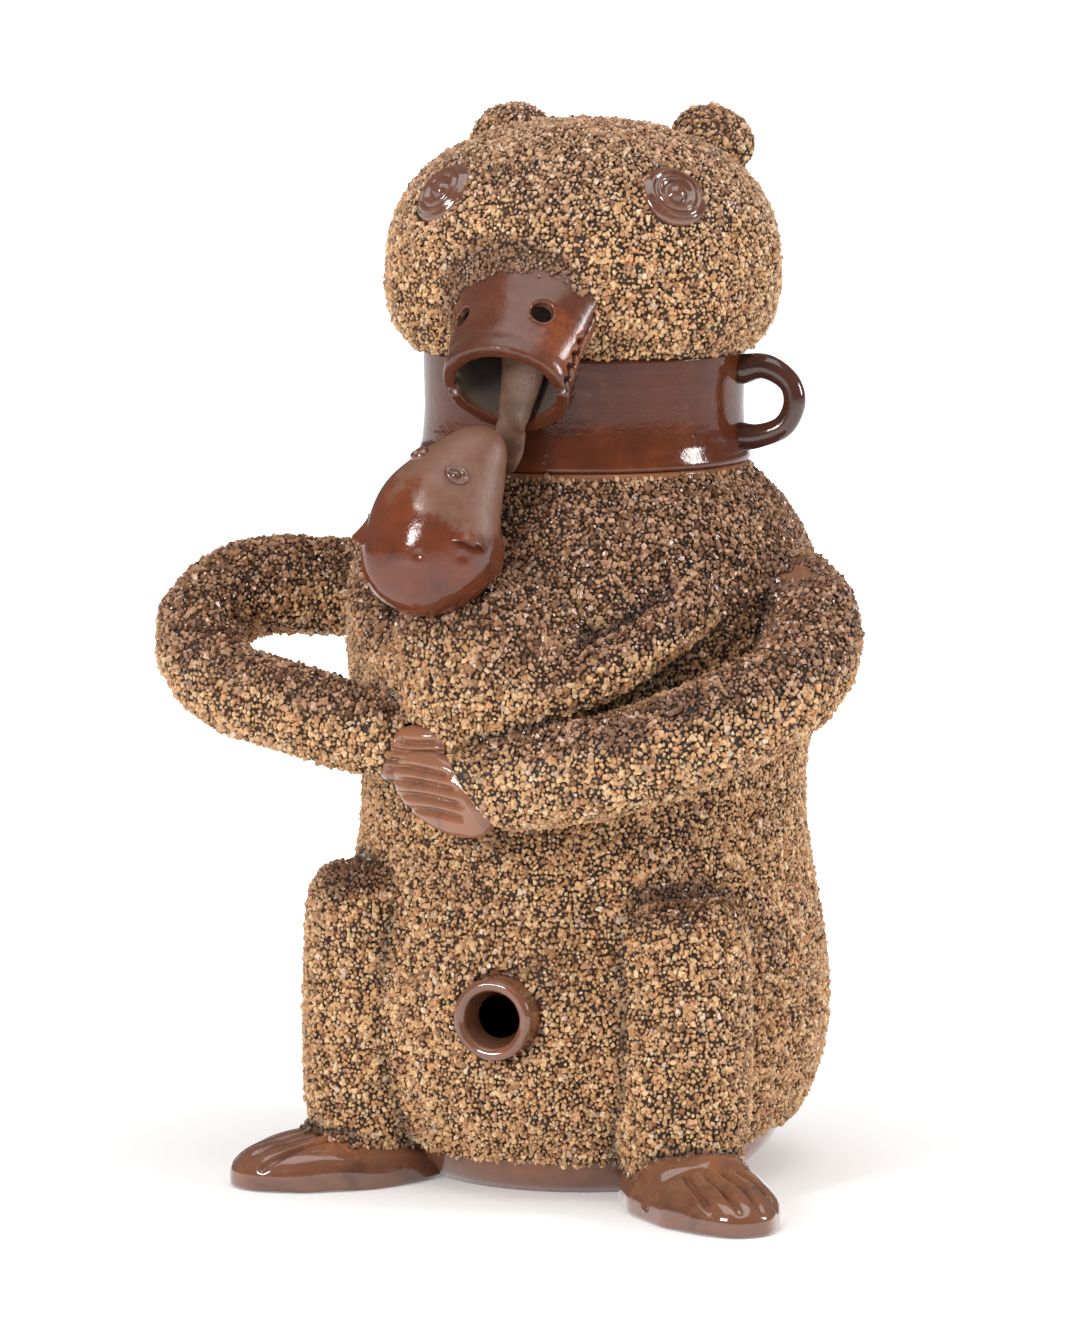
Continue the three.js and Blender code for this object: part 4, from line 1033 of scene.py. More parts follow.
def nostril_rims(bm):
    """The clay that the tool pushed up round each nostril."""
    bm.normal_update()
    axes = [nostril_axis(-1), nostril_axis(1)]
    for vert in bm.verts:
        for spot, out in axes:
            offset = vert.co - spot
            if offset.dot(out) > -1:
                away = (offset - out * offset.dot(out)).length
                vert.co += vert.normal * 0.45 * math.exp(-(((away - NOSTRIL_RADIUS - 0.9) / 0.6) ** 2))
    return bm


def upper_jaw():
    bm = carved(jaw_slab(snout_sheet, 1.1), nostril(-1), nostril(1), tooth_notches(0, 1.1))
    return set_on(uneven(lined(nostril_rims(wetted(voxelled(bm, 0.7), 9))), 16, 0.8, 11))


def lower_jaw():
    bm = carved(jaw_slab(chin_sheet, 0.8), tooth_notches(-SEAM, 1.6))
    return set_on(uneven(lined(wetted(voxelled(bm, 0.7), 8)), 12, 0.8, 12))


finish_piece("glazed_upper_jaw", upper_jaw(), face_glaze, "head_cover", ["upper_jaw"])
finish_piece("glazed_lower_jaw", lower_jaw(), face_glaze, "head_cover", ["lower_jaw"])

# %% [markdown]
# ## The tongue
# A dull strap of bare clay lies in the mouth, bends over the lower lip and hangs to a point.

# %% Tongue
TONGUE_WIDTH, TONGUE_THICKNESS, TONGUE_HANG = 13.0, 4.4, 18.0
TONGUE_SHARES = (1.1, 1.5, 1.45, 1.25, 1.1, 1.0, 0.6)


def tongue():
    over = TONGUE_THICKNESS / 2 + SEAM + 0.5

    def above(along, lift, aside):
        return chin_sheet(MUZZLE_WALL, 0.5, along) + Vector((aside, -over * 0.9, over + lift))

    bend = chin_sheet(0, 0.5, 1) + Vector((-2, -over - 1.4, 2))
    line = [
        above(0.1, 13, 3),
        above(0.45, 7, 1.8),
        above(0.8, 2, 0.2),
        above(1, 0.6, -1.4),
        bend + Vector((-0.8, 0, -0.4)),
        bend + Vector((-2.6, 0.6, -TONGUE_HANG * 0.6)),
        bend + Vector((-4.2, 1.4, -TONGUE_HANG)),
    ]
    girth = [TONGUE_WIDTH / 2 * share for share in TONGUE_SHARES]
    bm = roll(line, girth, up=(0, -1, 1), flat=TONGUE_THICKNESS / TONGUE_WIDTH, bluntness=3, rings=56)
    return set_on(uneven(bm, 9, 0.5, 6))


finish_piece("clay_tongue", tongue(), bare_clay, "head_cover", ["tongue"])

# %% [markdown]
# ## Paws and feet
# A paw or foot is a domed slab of clay with a flat sole. The toes were parted by a round tool pulled
# over the dome. A half section is spun and pushed to the slab's outline, and then the grooves are
# pressed in: each vertex near a groove's line sinks by a smooth curve.

# %% Pads


def pad_place(pad, x, y, level):
    """x and y lie in the unit circle. Level is 0 on the sole, 1 where the dome springs and 2 on top."""
    taper = mix(1, pad["heel"], smooth(-y, -0.3, 1))
    crown = mix(1, pad["toe"], smooth(y, -0.5, 1))
    across = x * taper * pad["width"] * 0.5
    along = y * pad["length"] * 0.5 + across * pad["slant"]
    dome = (pad["thickness"] - pad["side"]) * crown * max(level - 1, 0)
    return Vector((across, along, min(level, 1) * pad["side"] + dome))


def pad_grooves(pad):
    lines = []
    for i in range(1, pad["toes"]):
        fan = i / pad["toes"] * 2 - 1
        line = []
        for way in (0, 0.25, 0.5, 0.75, 1):
            out = mix(pad["groove_from"], 0.95, way)
            x = fan * mix(pad["groove_spread"], 0.86, way) + pad["groove_bend"] * math.sin(math.pi * way)
            y = out * math.sqrt(1 - fan * fan * 0.75)
            lift = 1 + math.sqrt(max(1 - min(math.hypot(x, y), 1) ** 2.5, 0))
            line.append(pad_place(pad, x, y, lift))
        lines.append([SmoothLine(line).at(j / 40) for j in range(41)])
    return lines


def pad_form(pad, steps=120):
    profile = [(0, 0), (0.5, 0), (0.9, 0), (0.95, 0), (0.985, 0.08), (1, 0.25), (1, 0.6), (1, 0.95)]
    for i in range(1, 25):
        lift = i / 24 * math.pi / 2
        profile.append((0 if i == 24 else math.cos(lift) ** 0.7, 1 + math.sin(lift)))
    bm = turned(profile, steps)
    for vert in bm.verts:
        vert.co = pad_place(pad, vert.co.x, vert.co.y, vert.co.z)
    for longest in (1.4, 0.8):
        coarse = [e for e in bm.edges if e.calc_length() > longest]
        bmesh.ops.subdivide_edges(bm, edges=coarse, cuts=1, use_grid_fill=True)
    bm.normal_update()
    grooves = pad_grooves(pad)
    for vert in bm.verts:
        if vert.co.z < pad["side"] * 0.3:
            continue
        for line in grooves:
            near = min(range(len(line)), key=lambda k: (line[k] - vert.co).length_squared)
            away = (line[near] - vert.co).length
            way = near / (len(line) - 1)
            fade = smooth(way, 0, 0.2) * (1 - 0.6 * smooth(way, 0.8, 1))
            vert.co -= vert.normal * (pad["depth"] * fade * math.exp(-((away / pad["groove"]) ** 2)))
    return bm


# %% Feet
FOOT_HEEL, FOOT_WIDTH, FOOT_THICKNESS, FOOT_SIDE = 62.0, 52.0, 22.0, 5.5
FEET = {"right_foot": (-1, 48, 149), "left_foot": (1, 43, 166)}
RIGHT_TOES = {"groove_from": -0.4, "groove": 1.35, "depth": 3.3}
LEFT_TOES = {"groove_from": 0.2, "groove": 1.5, "depth": 3.0}
CREASE = 10.0


def foot(side, angle, reach):
    length = reach - FOOT_HEEL
    pad = dict(length=length, width=FOOT_WIDTH, thickness=FOOT_THICKNESS, side=FOOT_SIDE, toes=5)
    pad.update(heel=0.95, toe=0.8, slant=0, groove_spread=0.66, groove_bend=0.06 * side)
    pad.update(LEFT_TOES if side > 0 else RIGHT_TOES)
    bm = pad_form(pad)
    for vert in bm.verts:
        if side > 0 and vert.co.z > FOOT_SIDE:
            behind = vert.co.y - CREASE + (vert.co.x / FOOT_WIDTH) ** 2 * 14
            ankle = 2.6 * math.exp(-(((behind + 11) / 8) ** 2)) * (1 - (2 * vert.co.x / FOOT_WIDTH) ** 2)
            vert.co.z += max(ankle, 0) - 2.2 * math.exp(-((behind / 2.6) ** 2))
    uneven(bm, 14, 0.9, 20 + side)
    for vert in bm.verts:
        vert.co.z = max(vert.co.z, 0)
    rotated(bm, 180 + side * angle, "Z")
    bmesh.ops.translate(bm, vec=around(side * angle, reach - length / 2, 0), verts=bm.verts)
    return bm


for name, place in FEET.items():
    finish_piece(f"glazed_{name}", foot(*place), foot_glaze, "jug", [name])

# %% Front paws
LEFT_ARM_RADIUS, RIGHT_ARM_RADIUS = 19.0, 17.4
CLASP_HEIGHT = 172.0
CUFF_SLOPE = 38.0
PAW_LENGTH, PAW_WIDTH, PAW_THICKNESS = 42.0, 31.0, 11.0


def paw(side, angle, standoff, height, tilt, size):
    pad = dict(length=PAW_LENGTH * size, width=PAW_WIDTH * size, thickness=PAW_THICKNESS)
    pad.update(side=PAW_THICKNESS * 0.4, toes=5, heel=1.1, toe=0.7, slant=-side * 0.5)
    pad.update(groove_from=-0.6, groove_spread=0.8, groove_bend=0.06, groove=1.35, depth=2.9)
    bm = pad_form(pad)
    out = around(angle, 1, 0)
    along = around(angle + side * 90, math.cos(math.radians(tilt)), math.sin(math.radians(tilt)))
    across = along.cross(out).normalized()
    return laid(bm, on_pot(angle, standoff, height), across, along, out)


def left_paw():
    """The wrist is cut across at a slope, and the cut is closed flat."""
    bm = paw(-1, -9, LEFT_ARM_RADIUS * 1.05, CLASP_HEIGHT - 9, 4, 1)
    slope = math.radians(CUFF_SLOPE)
    normal = Vector((math.cos(slope), 0, math.sin(slope)))
    place = Vector((-3, 0, CLASP_HEIGHT - 7))
    everything = bm.verts[:] + bm.edges[:] + bm.faces[:]
    bmesh.ops.bisect_plane(bm, geom=everything, plane_co=place, plane_no=normal, clear_outer=True)
    bmesh.ops.holes_fill(bm, edges=[e for e in bm.edges if e.is_boundary], sides=0)
    return outwards(bm)


finish_piece("glazed_left_paw", left_paw(), paw_glaze, "jug", ["left_paw"])
right_paw = paw(1, -17, RIGHT_ARM_RADIUS * 0.95, CLASP_HEIGHT + 5, 0, 0.74)
finish_piece("glazed_right_paw", right_paw, paw_glaze, "jug", ["right_paw"])

# %% [markdown]
# ## The dog
# The bear hugs a small dog that looks up. Its head is one egg of clay drawn out to the nose, smooth
# and glossy on the brow.

# %% Dog's head
DOG_HEIGHT, DOG_BODY_WIDTH, DOG_BODY_PROUD = 211.0, 88.0, 26.0
DOG_HEAD_RADIUS, DOG_HEAD_LENGTH, DOG_NOSE_RADIUS = 28.0, 70.0, 8.2
dog_middle = on_pot(-4, DOG_BODY_PROUD - DOG_BODY_WIDTH / 2, DOG_HEIGHT)
dog_chin = dog_middle + Vector((-18, -29, 21.5))
DOG_LINE = [(0, 0, 0), (0, -0.05, 0.27), (0.05, -0.03, 0.55), (0.18, 0.07, 0.81), (0.29, 0.15, 1)]
dog_points = [dog_chin + Vector(p) * DOG_HEAD_LENGTH for p in DOG_LINE]
dog_line = SmoothLine(dog_points)
DOG_DENTS = [((-19, -132, 258), 1.5, -1.2), ((-4, -125, 257), 1.7, -1.3), ((-19, -124, 283), 6.0, 1.6)]
DOG_FACE_TURN = -14.0
DOG_EAR_LENGTH, DOG_EAR_WIDTH, DOG_EAR_SKEW = 18.0, 17.0, 0.06


def dog_head():
    girth = [share * DOG_HEAD_RADIUS for share in (0.92, 1, 0.9)]
    girth += [DOG_NOSE_RADIUS * 2.1, DOG_NOSE_RADIUS]
    bm = roll(dog_points, girth, up=(0, 1, 0), flat=0.93, bluntness=2.3, sides=220, rings=150)
    return uneven(bm, 18, 0.7, 8)


dog_form = dog_head()
dog_skin = BVHTree.FromBMesh(dog_form)


def dog_spot(share, spin):
    """A place on the dog's head: how far towards the nose, and degrees round from its front."""
    along = dog_line.along(share)
    across = Vector((0, 1, 0)).cross(along).normalized()
    front = across.cross(along).normalized()
    if front.y > 0:
        front.negate()
    out = across * math.sin(math.radians(spin)) + front * math.cos(math.radians(spin))
    place, normal, _, _ = dog_skin.ray_cast(dog_line.at(share) + out * DOG_HEAD_LENGTH, -out)
    return place, normal, (along - normal * along.dot(normal)).normalized()


def ear_root(side):
    """The middle of an ear, the way to the nose and the way across."""
    place, out, along = dog_spot(0.45 + side * DOG_EAR_SKEW, side * 66 + DOG_FACE_TURN)
    return place, along, along.cross(out).normalized()


def dented(bm, dents):
    """Presses pits and bumps into the head. Each has a place, a radius and a height."""
    bm.normal_update()
    for vert in bm.verts:
        for place, size, rise in dents:
            away = (vert.co - Vector(place)).length / size
            if away < 3:
                vert.co += vert.normal * rise * math.exp(-(away * away))
    return bm


for side in (-1, 1):
    place, along, across = ear_root(side)
    for step in range(-4, 5):
        bow = along * (0.41 - 0.004 * step * step) * -DOG_EAR_LENGTH
        DOG_DENTS.append((place + across * step * 1.4 + bow, 1.5, -0.55))
DOG_DENTS.append((dog_spot(0.57, 70)[0], 11.0, 1.6))
dented(dog_form, DOG_DENTS)
finish_piece("glazed_dog_head", dog_form, dog_glaze, "jug", ["dog_head"])

# %% [markdown]
# ## The dog's eyes and ears
# Its eyes are small rings pressed round a pupil. An ear is a flap of clay smoothed into the head at
# the top, and its lower edge stands free over a slit. The flap is a grid laid on the head, raised
# towards that edge, with its extruded copy under it.

# %% Dog's eyes and ears
DOG_EYE_RADIUS, DOG_EYE_RELIEF = 4.2, 1.5
EAR_LIP = 1.1


def dog_eye(side):
    relief = [(0, 0.5), (0.2, 0.42), (0.36, 0.1), (0.5, -0.1), (0.62, 0.1)]
    relief += [(0.74, 0.85), (0.84, 1.0), (0.93, 0.7), (1.02, 0.2), (1.1, -0.4)]
    profile = [(out * DOG_EYE_RADIUS, rise * DOG_EYE_RELIEF) for out, rise in relief]
    profile += [(DOG_EYE_RADIUS, -DOG_EYE_RADIUS * 0.6), (0, -DOG_EYE_RADIUS * 0.6)]
    bm = turned(profile, 44)
    bmesh.ops.scale(bm, vec=(1.15, 0.9, 1), verts=bm.verts)
    place, out, along = dog_spot(0.69, side * 36 + DOG_FACE_TURN * 2)
    return facing(bm, place, out, along)


def dog_ear(side, rise):
    place, along, across = ear_root(side)
    bm, sheet, under = double_sheet(44, 36)
    for vert in bm.verts:
        u, v, _ = vert[sheet]
        u = u * 2 - 1
        aside = u * DOG_EAR_WIDTH / 2 * mix(1.05, 0.8, v)
        up = DOG_EAR_LENGTH * (mix(-0.5, 0.5, v) + 0.12 * (1 - u * u) * (1 - v))
        foot, normal, _, _ = dog_skin.find_nearest(place + across * aside + along * up)
        lift = rise * max(1 - v, 0) ** 2.4 * max(1 - u * u, 0) ** 1.2 - 0.3
        vert.co = foot + normal * (lift - EAR_LIP - v if vert in under else lift)
    bmesh.ops.recalc_face_normals(bm, faces=bm.faces)
    return wetted(bm, 2)


for name, side, rise in (("dog_right", -1, 5.2), ("dog_left", 1, 4.0)):
    finish_piece(f"glazed_{name}_eye", dog_eye(side), eye_glaze, "jug", [f"{name}_eye"])
    finish_piece(f"glazed_{name}_ear", dog_ear(side, rise), dog_glaze, "jug", [f"{name}_ear"])

# %% [markdown]
# ## The skin under the crumbs
# The trunk, limbs and dog were luted together before the coat went on, so the crumbs run over the
# joints in one soft skin. Copies of the coated solids are fused by a voxel remesh and smoothed, and the
# hind legs and the dog's left leg are made a little fuller first. What is glazed is left out of the
# skin: faces in or close to a smooth piece are deleted.

# %% Coated skins
SKIN_VOXEL = 0.0020
SKIN_LIFT = -0.0002
JUG_COATED = ["right_arm", "left_arm", "right_leg", "left_leg"]
JUG_COATED += ["dog_body", "dog_right_leg", "dog_left_leg", "dog_jaw"]
HEAD_COATED = ["head_dome", "right_ear", "left_ear"]
JAWS = ["upper_jaw", "lower_jaw"]
JUG_SMOOTH = ["right_paw", "left_paw", "dog_head", "dog_right_eye", "dog_left_eye"]
JUG_SMOOTH += ["dog_right_ear", "dog_left_ear", "bung_collar"]
HEAD_SMOOTH = ["right_eye", "left_eye", "cup_handle", "cup_wall"]
BARE_SPOT_SIZE = 0.0065
COAT_CLIMB, FOOT_CLIMB = 0.0040, 0.0060
FULLER = {"left_leg": 0.0025, "right_leg": 0.0018, "dog_left_leg": 0.0015}
COAT_EDGE, COAT_TOP_RADIUS, SMOOTH_GAP = 14.0, 0.0695, 0.0010


def search_tree(names):
    """One search tree over some nodes, and the node that each of its faces belongs to."""
    corners, faces, owners = [], [], []
    for name in names:
        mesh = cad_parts[name].data
        first = len(corners)
        corners += [v.co.copy() for v in mesh.vertices]
        faces += [[first + i for i in p.vertices] for p in mesh.polygons]
        owners += [name] * len(mesh.polygons)
    return BVHTree.FromPolygons(corners, faces), owners


def joined(bm, part):
    """Adds one bmesh to another."""
    form = new_object("form", part)
    bm.from_mesh(form.data)
    discard(form)


def fused(names, passes, tight, extra=None):
    """Fuses solids in one soft skin, and pushes it out again where the smoothing sank it."""
    bm = bmesh.new()
    for name in names:
        part = bmesh.new()
        part.from_mesh(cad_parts[name].data)
        bmesh.ops.remove_doubles(part, verts=part.verts, dist=1e-6)
        part.normal_update()
        for vert in part.verts:
            vert.co += vert.normal * FULLER.get(name, 0)
        joined(bm, part)
    if extra is not None:
        joined(bm, extra)
    bm = wetted(voxelled(bm, SKIN_VOXEL), passes)
    for vert in bm.verts:
        near, out, _, _ = tight.find_nearest(vert.co)
        if (vert.co - near).dot(out) < SKIN_LIFT:
            vert.co = near + out * SKIN_LIFT
    return creased(wetted(bm, 2))


def creased(bm):
    """Marks the creases, where the crumbs are painted with shade: there, a much softer skin would lie
    further out.
    """
    bm.normal_update()
    crisp = [vert.co.copy() for vert in bm.verts]
    normals = [vert.normal.copy() for vert in bm.verts]
    wetted(bm, 60)
    layer = bm.verts.layers.float.new("crease")
    for vert, place, normal in zip(bm.verts, crisp, normals):
        vert[layer] = min(max(((vert.co - place).dot(normal) - 0.0003) / 0.0014, 0), 1)
        vert.co = place
    return bm


def pot_form():
    bm = turned([(0, 0), *pot_outline(), (0, SEAT)], 96)
    bmesh.ops.scale(bm, vec=(MM, MM, MM), verts=bm.verts)
    return bm


def inside(tree, spot):
    """A ray out of a solid crosses its surface an odd number of times."""
    ray, crossings = Vector((0.31, 0.22, 0.92)).normalized(), 0
    hit = tree.ray_cast(spot, ray)[0]
    while hit is not None:
        crossings += 1
        hit = tree.ray_cast(hit + ray * 1e-6, ray)[0]
    return crossings % 2 == 1


def trimmed(bm, smooth_names, outside):
    """Deletes what lies in or near the smooth pieces, and what the coat doesn't cover."""
    tree, _ = search_tree(smooth_names)
    gone = []
    for face in bm.faces:
        spot = face.calc_center_median()
        if outside(spot) or tree.find_nearest(spot)[3] < SMOOTH_GAP or inside(tree, spot):
            gone.append(face)
    bmesh.ops.delete(bm, geom=gone, context="FACES")
    return bm


jug_tree, jug_owners = search_tree([*JUG_COATED, "thrown_pot", *FEET])
coated_tree, _ = search_tree([*JUG_COATED, "thrown_pot"])


def off_the_jug(spot):
    """The coat stops above the foot ring, at the ledge that carries the cup and round the bung hole."""
    offset = spot - BARE_SPOT
    offset.z *= 2
    if offset.length < BARE_SPOT_SIZE * (1 + 0.8 * noise.noise(spot / 0.004)):
        return True
    if spot.y < 0 and math.hypot(spot.x, spot.z - BUNG_HEIGHT * MM) < (BUNG_BORE + BUNG_COLLAR_WALL) * MM:
        return True
    angle = abs(math.degrees(math.atan2(spot.x, -spot.y)))
    edge = COAT_EDGE + 1.6 * noise.noise(Vector((angle * 0.09, 3, 0))) + 8 * smooth(angle, 58, 90)
    if spot.z < edge * MM:
        return True
    if spot.z > (SEAT - 1.8) * MM and math.hypot(spot.x, spot.y) < COAT_TOP_RADIUS:
        return True
    _, _, index, _ = jug_tree.find_nearest(spot)
    if jug_owners[index] in FEET:
        climb = FOOT_CLIMB * (1 + 0.6 * noise.noise(spot / 0.006))
        return coated_tree.find_nearest(spot)[3] > climb
    return False


head_tree, head_owners = search_tree([*HEAD_COATED, *JAWS])
dome_tree, _ = search_tree(["head_dome"])


def off_the_head(spot):
    """The coat covers the dome's outside and climbs a little way on to the muzzle, raggedly."""
    rise = spot.z / MM
    if rise < CUP_TOP + 1.2 or (rise < CUP_TOP + HEAD_HEIGHT - 4 and inner_side(spot)):
        return True
    back = Matrix.Rotation(math.radians(-MUZZLE_ROLL), 3, jaw_along)
    place = back @ (Matrix.Rotation(math.radians(-MUZZLE_TURN), 3, "Z") @ (spot / MM) - jaw_root) + jaw_root
    if spot.y < -0.05 and jaw_place(place)[1] < 0.93:
        return True
    _, _, index, _ = head_tree.find_nearest(spot)
    climb = COAT_CLIMB * (1 + 0.6 * noise.noise(spot / 0.004))
    return head_owners[index] in JAWS and dome_tree.find_nearest(spot)[3] > climb


def inner_side(spot):
    """Whether a point lies on the dome's inner wall."""
    share = head_share(spot.z / MM)
    across = (HEAD_WIDTH / 2 * share - 4) * MM
    deep = (HEAD_DEPTH / 2 * share - 4) * MM
    return across <= 0 or (spot.x / across) ** 2 + (spot.y / deep) ** 2 < 1


jug_form = fused([*JUG_COATED, *FEET], 4, jug_tree, pot_form())
head_form = fused([*HEAD_COATED, *JAWS], 10, head_tree)
jug_skin = trimmed(jug_form, JUG_SMOOTH, off_the_jug)
head_skin = trimmed(head_form, HEAD_SMOOTH, off_the_head)
print("skins:", len(jug_skin.faces), "and", len(head_skin.faces), "faces")

# %% [markdown]
# ## Regions of the coat
# One mesh of seventy thousand crumbs would be too heavy to handle, so the coat is made as one piece for
# each limb, and the trunk and head are shared out by height and by quarter. Each face of the skin
# takes the name of the nearest solid.

# %% Name each face's region
QUARTERS = ["front_left", "front_right", "back_left", "back_right"]
JUG_REGIONS = [f"{band}_{quarter}" for band in ("hips", "chest", "shoulders") for quarter in QUARTERS]
JUG_REGIONS += JUG_COATED
HEAD_REGIONS = [f"head_{quarter}" for quarter in QUARTERS] + ["right_ear", "left_ear"]


def quarter(spot):
    return ("back" if spot.y > 0 else "front") + ("_left" if spot.x > 0 else "_right")


def jug_region(name, spot):
    if name != "thrown_pot":
        return JUG_REGIONS.index(name)
    band = "shoulders" if spot.z > 0.225 else "chest" if spot.z > 0.125 else "hips"
    return JUG_REGIONS.index(f"{band}_{quarter(spot)}")


def head_region(name, spot):
    return HEAD_REGIONS.index(f"head_{quarter(spot)}" if name == "head_dome" else name)


def shared_out(bm, names, region_of):
    tree, owners = search_tree(names)
    layer = bm.faces.layers.int.new("region")
    for face in bm.faces:
        spot = face.calc_center_median()
        _, _, index, _ = tree.find_nearest(spot)
        face[layer] = region_of(owners[index], spot)
    return bm


shared_out(jug_skin, [*JUG_COATED, "thrown_pot"], jug_region)
shared_out(head_skin, HEAD_COATED, head_region)

# %% [markdown]
# ## Shapes of crumb
# Fourteen crumbs are enough, because each copy is turned and scaled at random. Crushed clay breaks
# with flat faces, so a crumb is the convex hull of eleven points strewn round a middle.

# %% Crumb shapes
CRUMB_RADIUS = 0.00112
CRUMB_SHAPES, CRUMB_CORNERS = 14, 11
dice = random.Random(7)
crumb_shapes = bpy.data.collections.new("crumb_shapes")
for index in range(CRUMB_SHAPES):
    bm = bmesh.new()
    for corner in range(CRUMB_CORNERS):
        height = 1 - 2 * (corner + 0.5) / CRUMB_CORNERS
        turn = corner * 2.4 + dice.uniform(-0.6, 0.6)
        flat = math.sqrt(1 - height * height)
        out = Vector((flat * math.cos(turn), flat * math.sin(turn), height))
        bm.verts.new(out * CRUMB_RADIUS * dice.uniform(0.82, 1.16))
    bmesh.ops.convex_hull(bm, input=bm.verts)
    bmesh.ops.delete(bm, geom=[v for v in bm.verts if not v.link_faces], context="VERTS")
    stretch = (dice.uniform(0.95, 1.3), dice.uniform(0.85, 1.1), dice.uniform(0.72, 0.98))
    bmesh.ops.scale(bm, vec=stretch, verts=bm.verts)
    bmesh.ops.recalc_face_normals(bm, faces=bm.faces)
    mesh = bpy.data.meshes.new(f"crumb_{index}")
    bm.to_mesh(mesh)
    bm.free()
    crumb_shapes.objects.link(bpy.data.objects.new(f"crumb_{index}", mesh))
print(CRUMB_SHAPES, "crumb shapes")

# %% [markdown]
# ## Scattering
# Geometry Nodes does what a potter's hand does when it rolls the pot in crumbs. Points are spread over
# one region of the skin, no two closer than a set distance. Each is lifted a little, a crumb is set on
# it and turned at random, and the numbers for its material are stored. The result is applied, so that
# the piece is a plain mesh.

# %% Scatter group
MOST_PER_SQUARE_METRE, MOST_LIFT = 1.2e6, 0.0007


def stored(tree, coat, name, value, kind, domain):
    inputs = {"Geometry": coat, "Name": name, "Value": value}
    return add(tree, "GeometryNodeStoreNamedAttribute", inputs, data_type=kind, domain=domain).outputs[0]


def recalled(tree, name, kind="FLOAT_VECTOR"):
    return add(tree, "GeometryNodeInputNamedAttribute", {"Name": name}, data_type=kind).outputs[0]


def chance(tree, low, high, seed):
    inputs = {2: low, 3: high, "Seed": seed}
    return add(tree, "FunctionNodeRandomValue", inputs, data_type="FLOAT").outputs[1]


def scatter_group():
    tree = bpy.data.node_groups.new("scatter_crumbs", "GeometryNodeTree")
    sockets = {"Skin": "NodeSocketGeometry", "Region": "NodeSocketInt", "Spacing": NUMBER, "Size": NUMBER}
    for label, kind in sockets.items():
        tree.interface.new_socket(label, in_out="INPUT", socket_type=kind)
    tree.interface.new_socket("Coat", in_out="OUTPUT", socket_type="NodeSocketGeometry")
    given, out = tree.nodes.new("NodeGroupInput"), tree.nodes.new("NodeGroupOutput")
    inputs = {2: recalled(tree, "region", "INT"), 3: given.outputs["Region"]}
    chosen = add(tree, "FunctionNodeCompare", inputs, data_type="INT", operation="EQUAL").outputs[0]
    inputs = {"Mesh": given.outputs["Skin"], "Selection": chosen, "Seed": 4}
    inputs.update({"Distance Min": given.outputs["Spacing"], "Density Max": MOST_PER_SQUARE_METRE})
    spread = add(tree, "GeometryNodeDistributePointsOnFaces", inputs, distribute_method="POISSON")
    inputs = {0: (0, 0, 0), 1: (6.3, 6.3, 6.3), "Seed": 1}
    turn = add(tree, "FunctionNodeRandomValue", inputs, data_type="FLOAT_VECTOR").outputs[0]
    turned_by = add(tree, "FunctionNodeEulerToRotation", {0: turn}).outputs[0]
    rare = maths(tree, "POWER", chance(tree, 0.0, 1.0, 2), 2.2)
    size = times(tree, plus(tree, times(tree, rare, 0.75), 0.74), given.outputs["Size"])
    out_of_skin = spread.outputs["Normal"]
    inputs = {0: out_of_skin, "Scale": chance(tree, 0.0, MOST_LIFT, 5)}
    lift = add(tree, "ShaderNodeVectorMath", inputs, operation="SCALE").outputs[0]
    inputs = {"Geometry": spread.outputs["Points"], "Offset": lift}
    points = add(tree, "GeometryNodeSetPosition", inputs).outputs[0]
    inputs = {"Collection": crumb_shapes, "Separate Children": True, "Reset Children": True}
    shapes = add(tree, "GeometryNodeCollectionInfo", inputs).outputs[0]
    inputs = {"Points": points, "Instance": shapes, "Pick Instance": True}
    inputs.update({"Rotation": turned_by, "Scale": size})
    coat = add(tree, "GeometryNodeInstanceOnPoints", inputs).outputs[0]
    spot = add(tree, "GeometryNodeInputPosition").outputs[0]
    coat = stored(tree, coat, "tone", chance(tree, 0.0, 1.0, 3), "FLOAT", "INSTANCE")
    coat = stored(tree, coat, "facing_up", axes(tree, out_of_skin)["Z"], "FLOAT", "INSTANCE")
    coat = stored(tree, coat, "out", out_of_skin, "FLOAT_VECTOR", "INSTANCE")
    coat = stored(tree, coat, "spot", spot, "FLOAT_VECTOR", "INSTANCE")
    coat = add(tree, "GeometryNodeRealizeInstances", {"Geometry": coat}).outputs[0]
    corner = add(tree, "GeometryNodeInputPosition").outputs[0]
    from_middle = vector_maths(tree, "SUBTRACT", corner, recalled(tree, "spot"))
    proud = vector_maths(tree, "DOT_PRODUCT", from_middle, recalled(tree, "out"))
    coat = stored(tree, coat, "proud", proud, "FLOAT", "POINT")
    for name in ("spot", "out"):
        coat = add(tree, "GeometryNodeRemoveAttribute", {"Geometry": coat, "Name": name}).outputs[0]
    tree.links.new(coat, out.inputs[0])
    return tree


scatter_crumbs = scatter_group()
sockets = [item for item in scatter_crumbs.interface.items_tree if item.in_out == "INPUT"]
socket_names = {item.name: item.identifier for item in sockets}
print("scatter sockets:", socket_names)

# %% Scatter the coats


def coat(skin, region, spacing, size):
    """The crumbs of one region as a mesh of their own."""
    holder = linked(bpy.data.objects.new("holder", skin))
    scatter = holder.modifiers.new("crumbs", "NODES")
    scatter.node_group = scatter_crumbs
    scatter[socket_names["Region"]] = region
    scatter[socket_names["Spacing"]] = spacing
    scatter[socket_names["Size"]] = size
    mesh = evaluated_mesh(holder)
    bpy.data.objects.remove(holder)
    return mesh


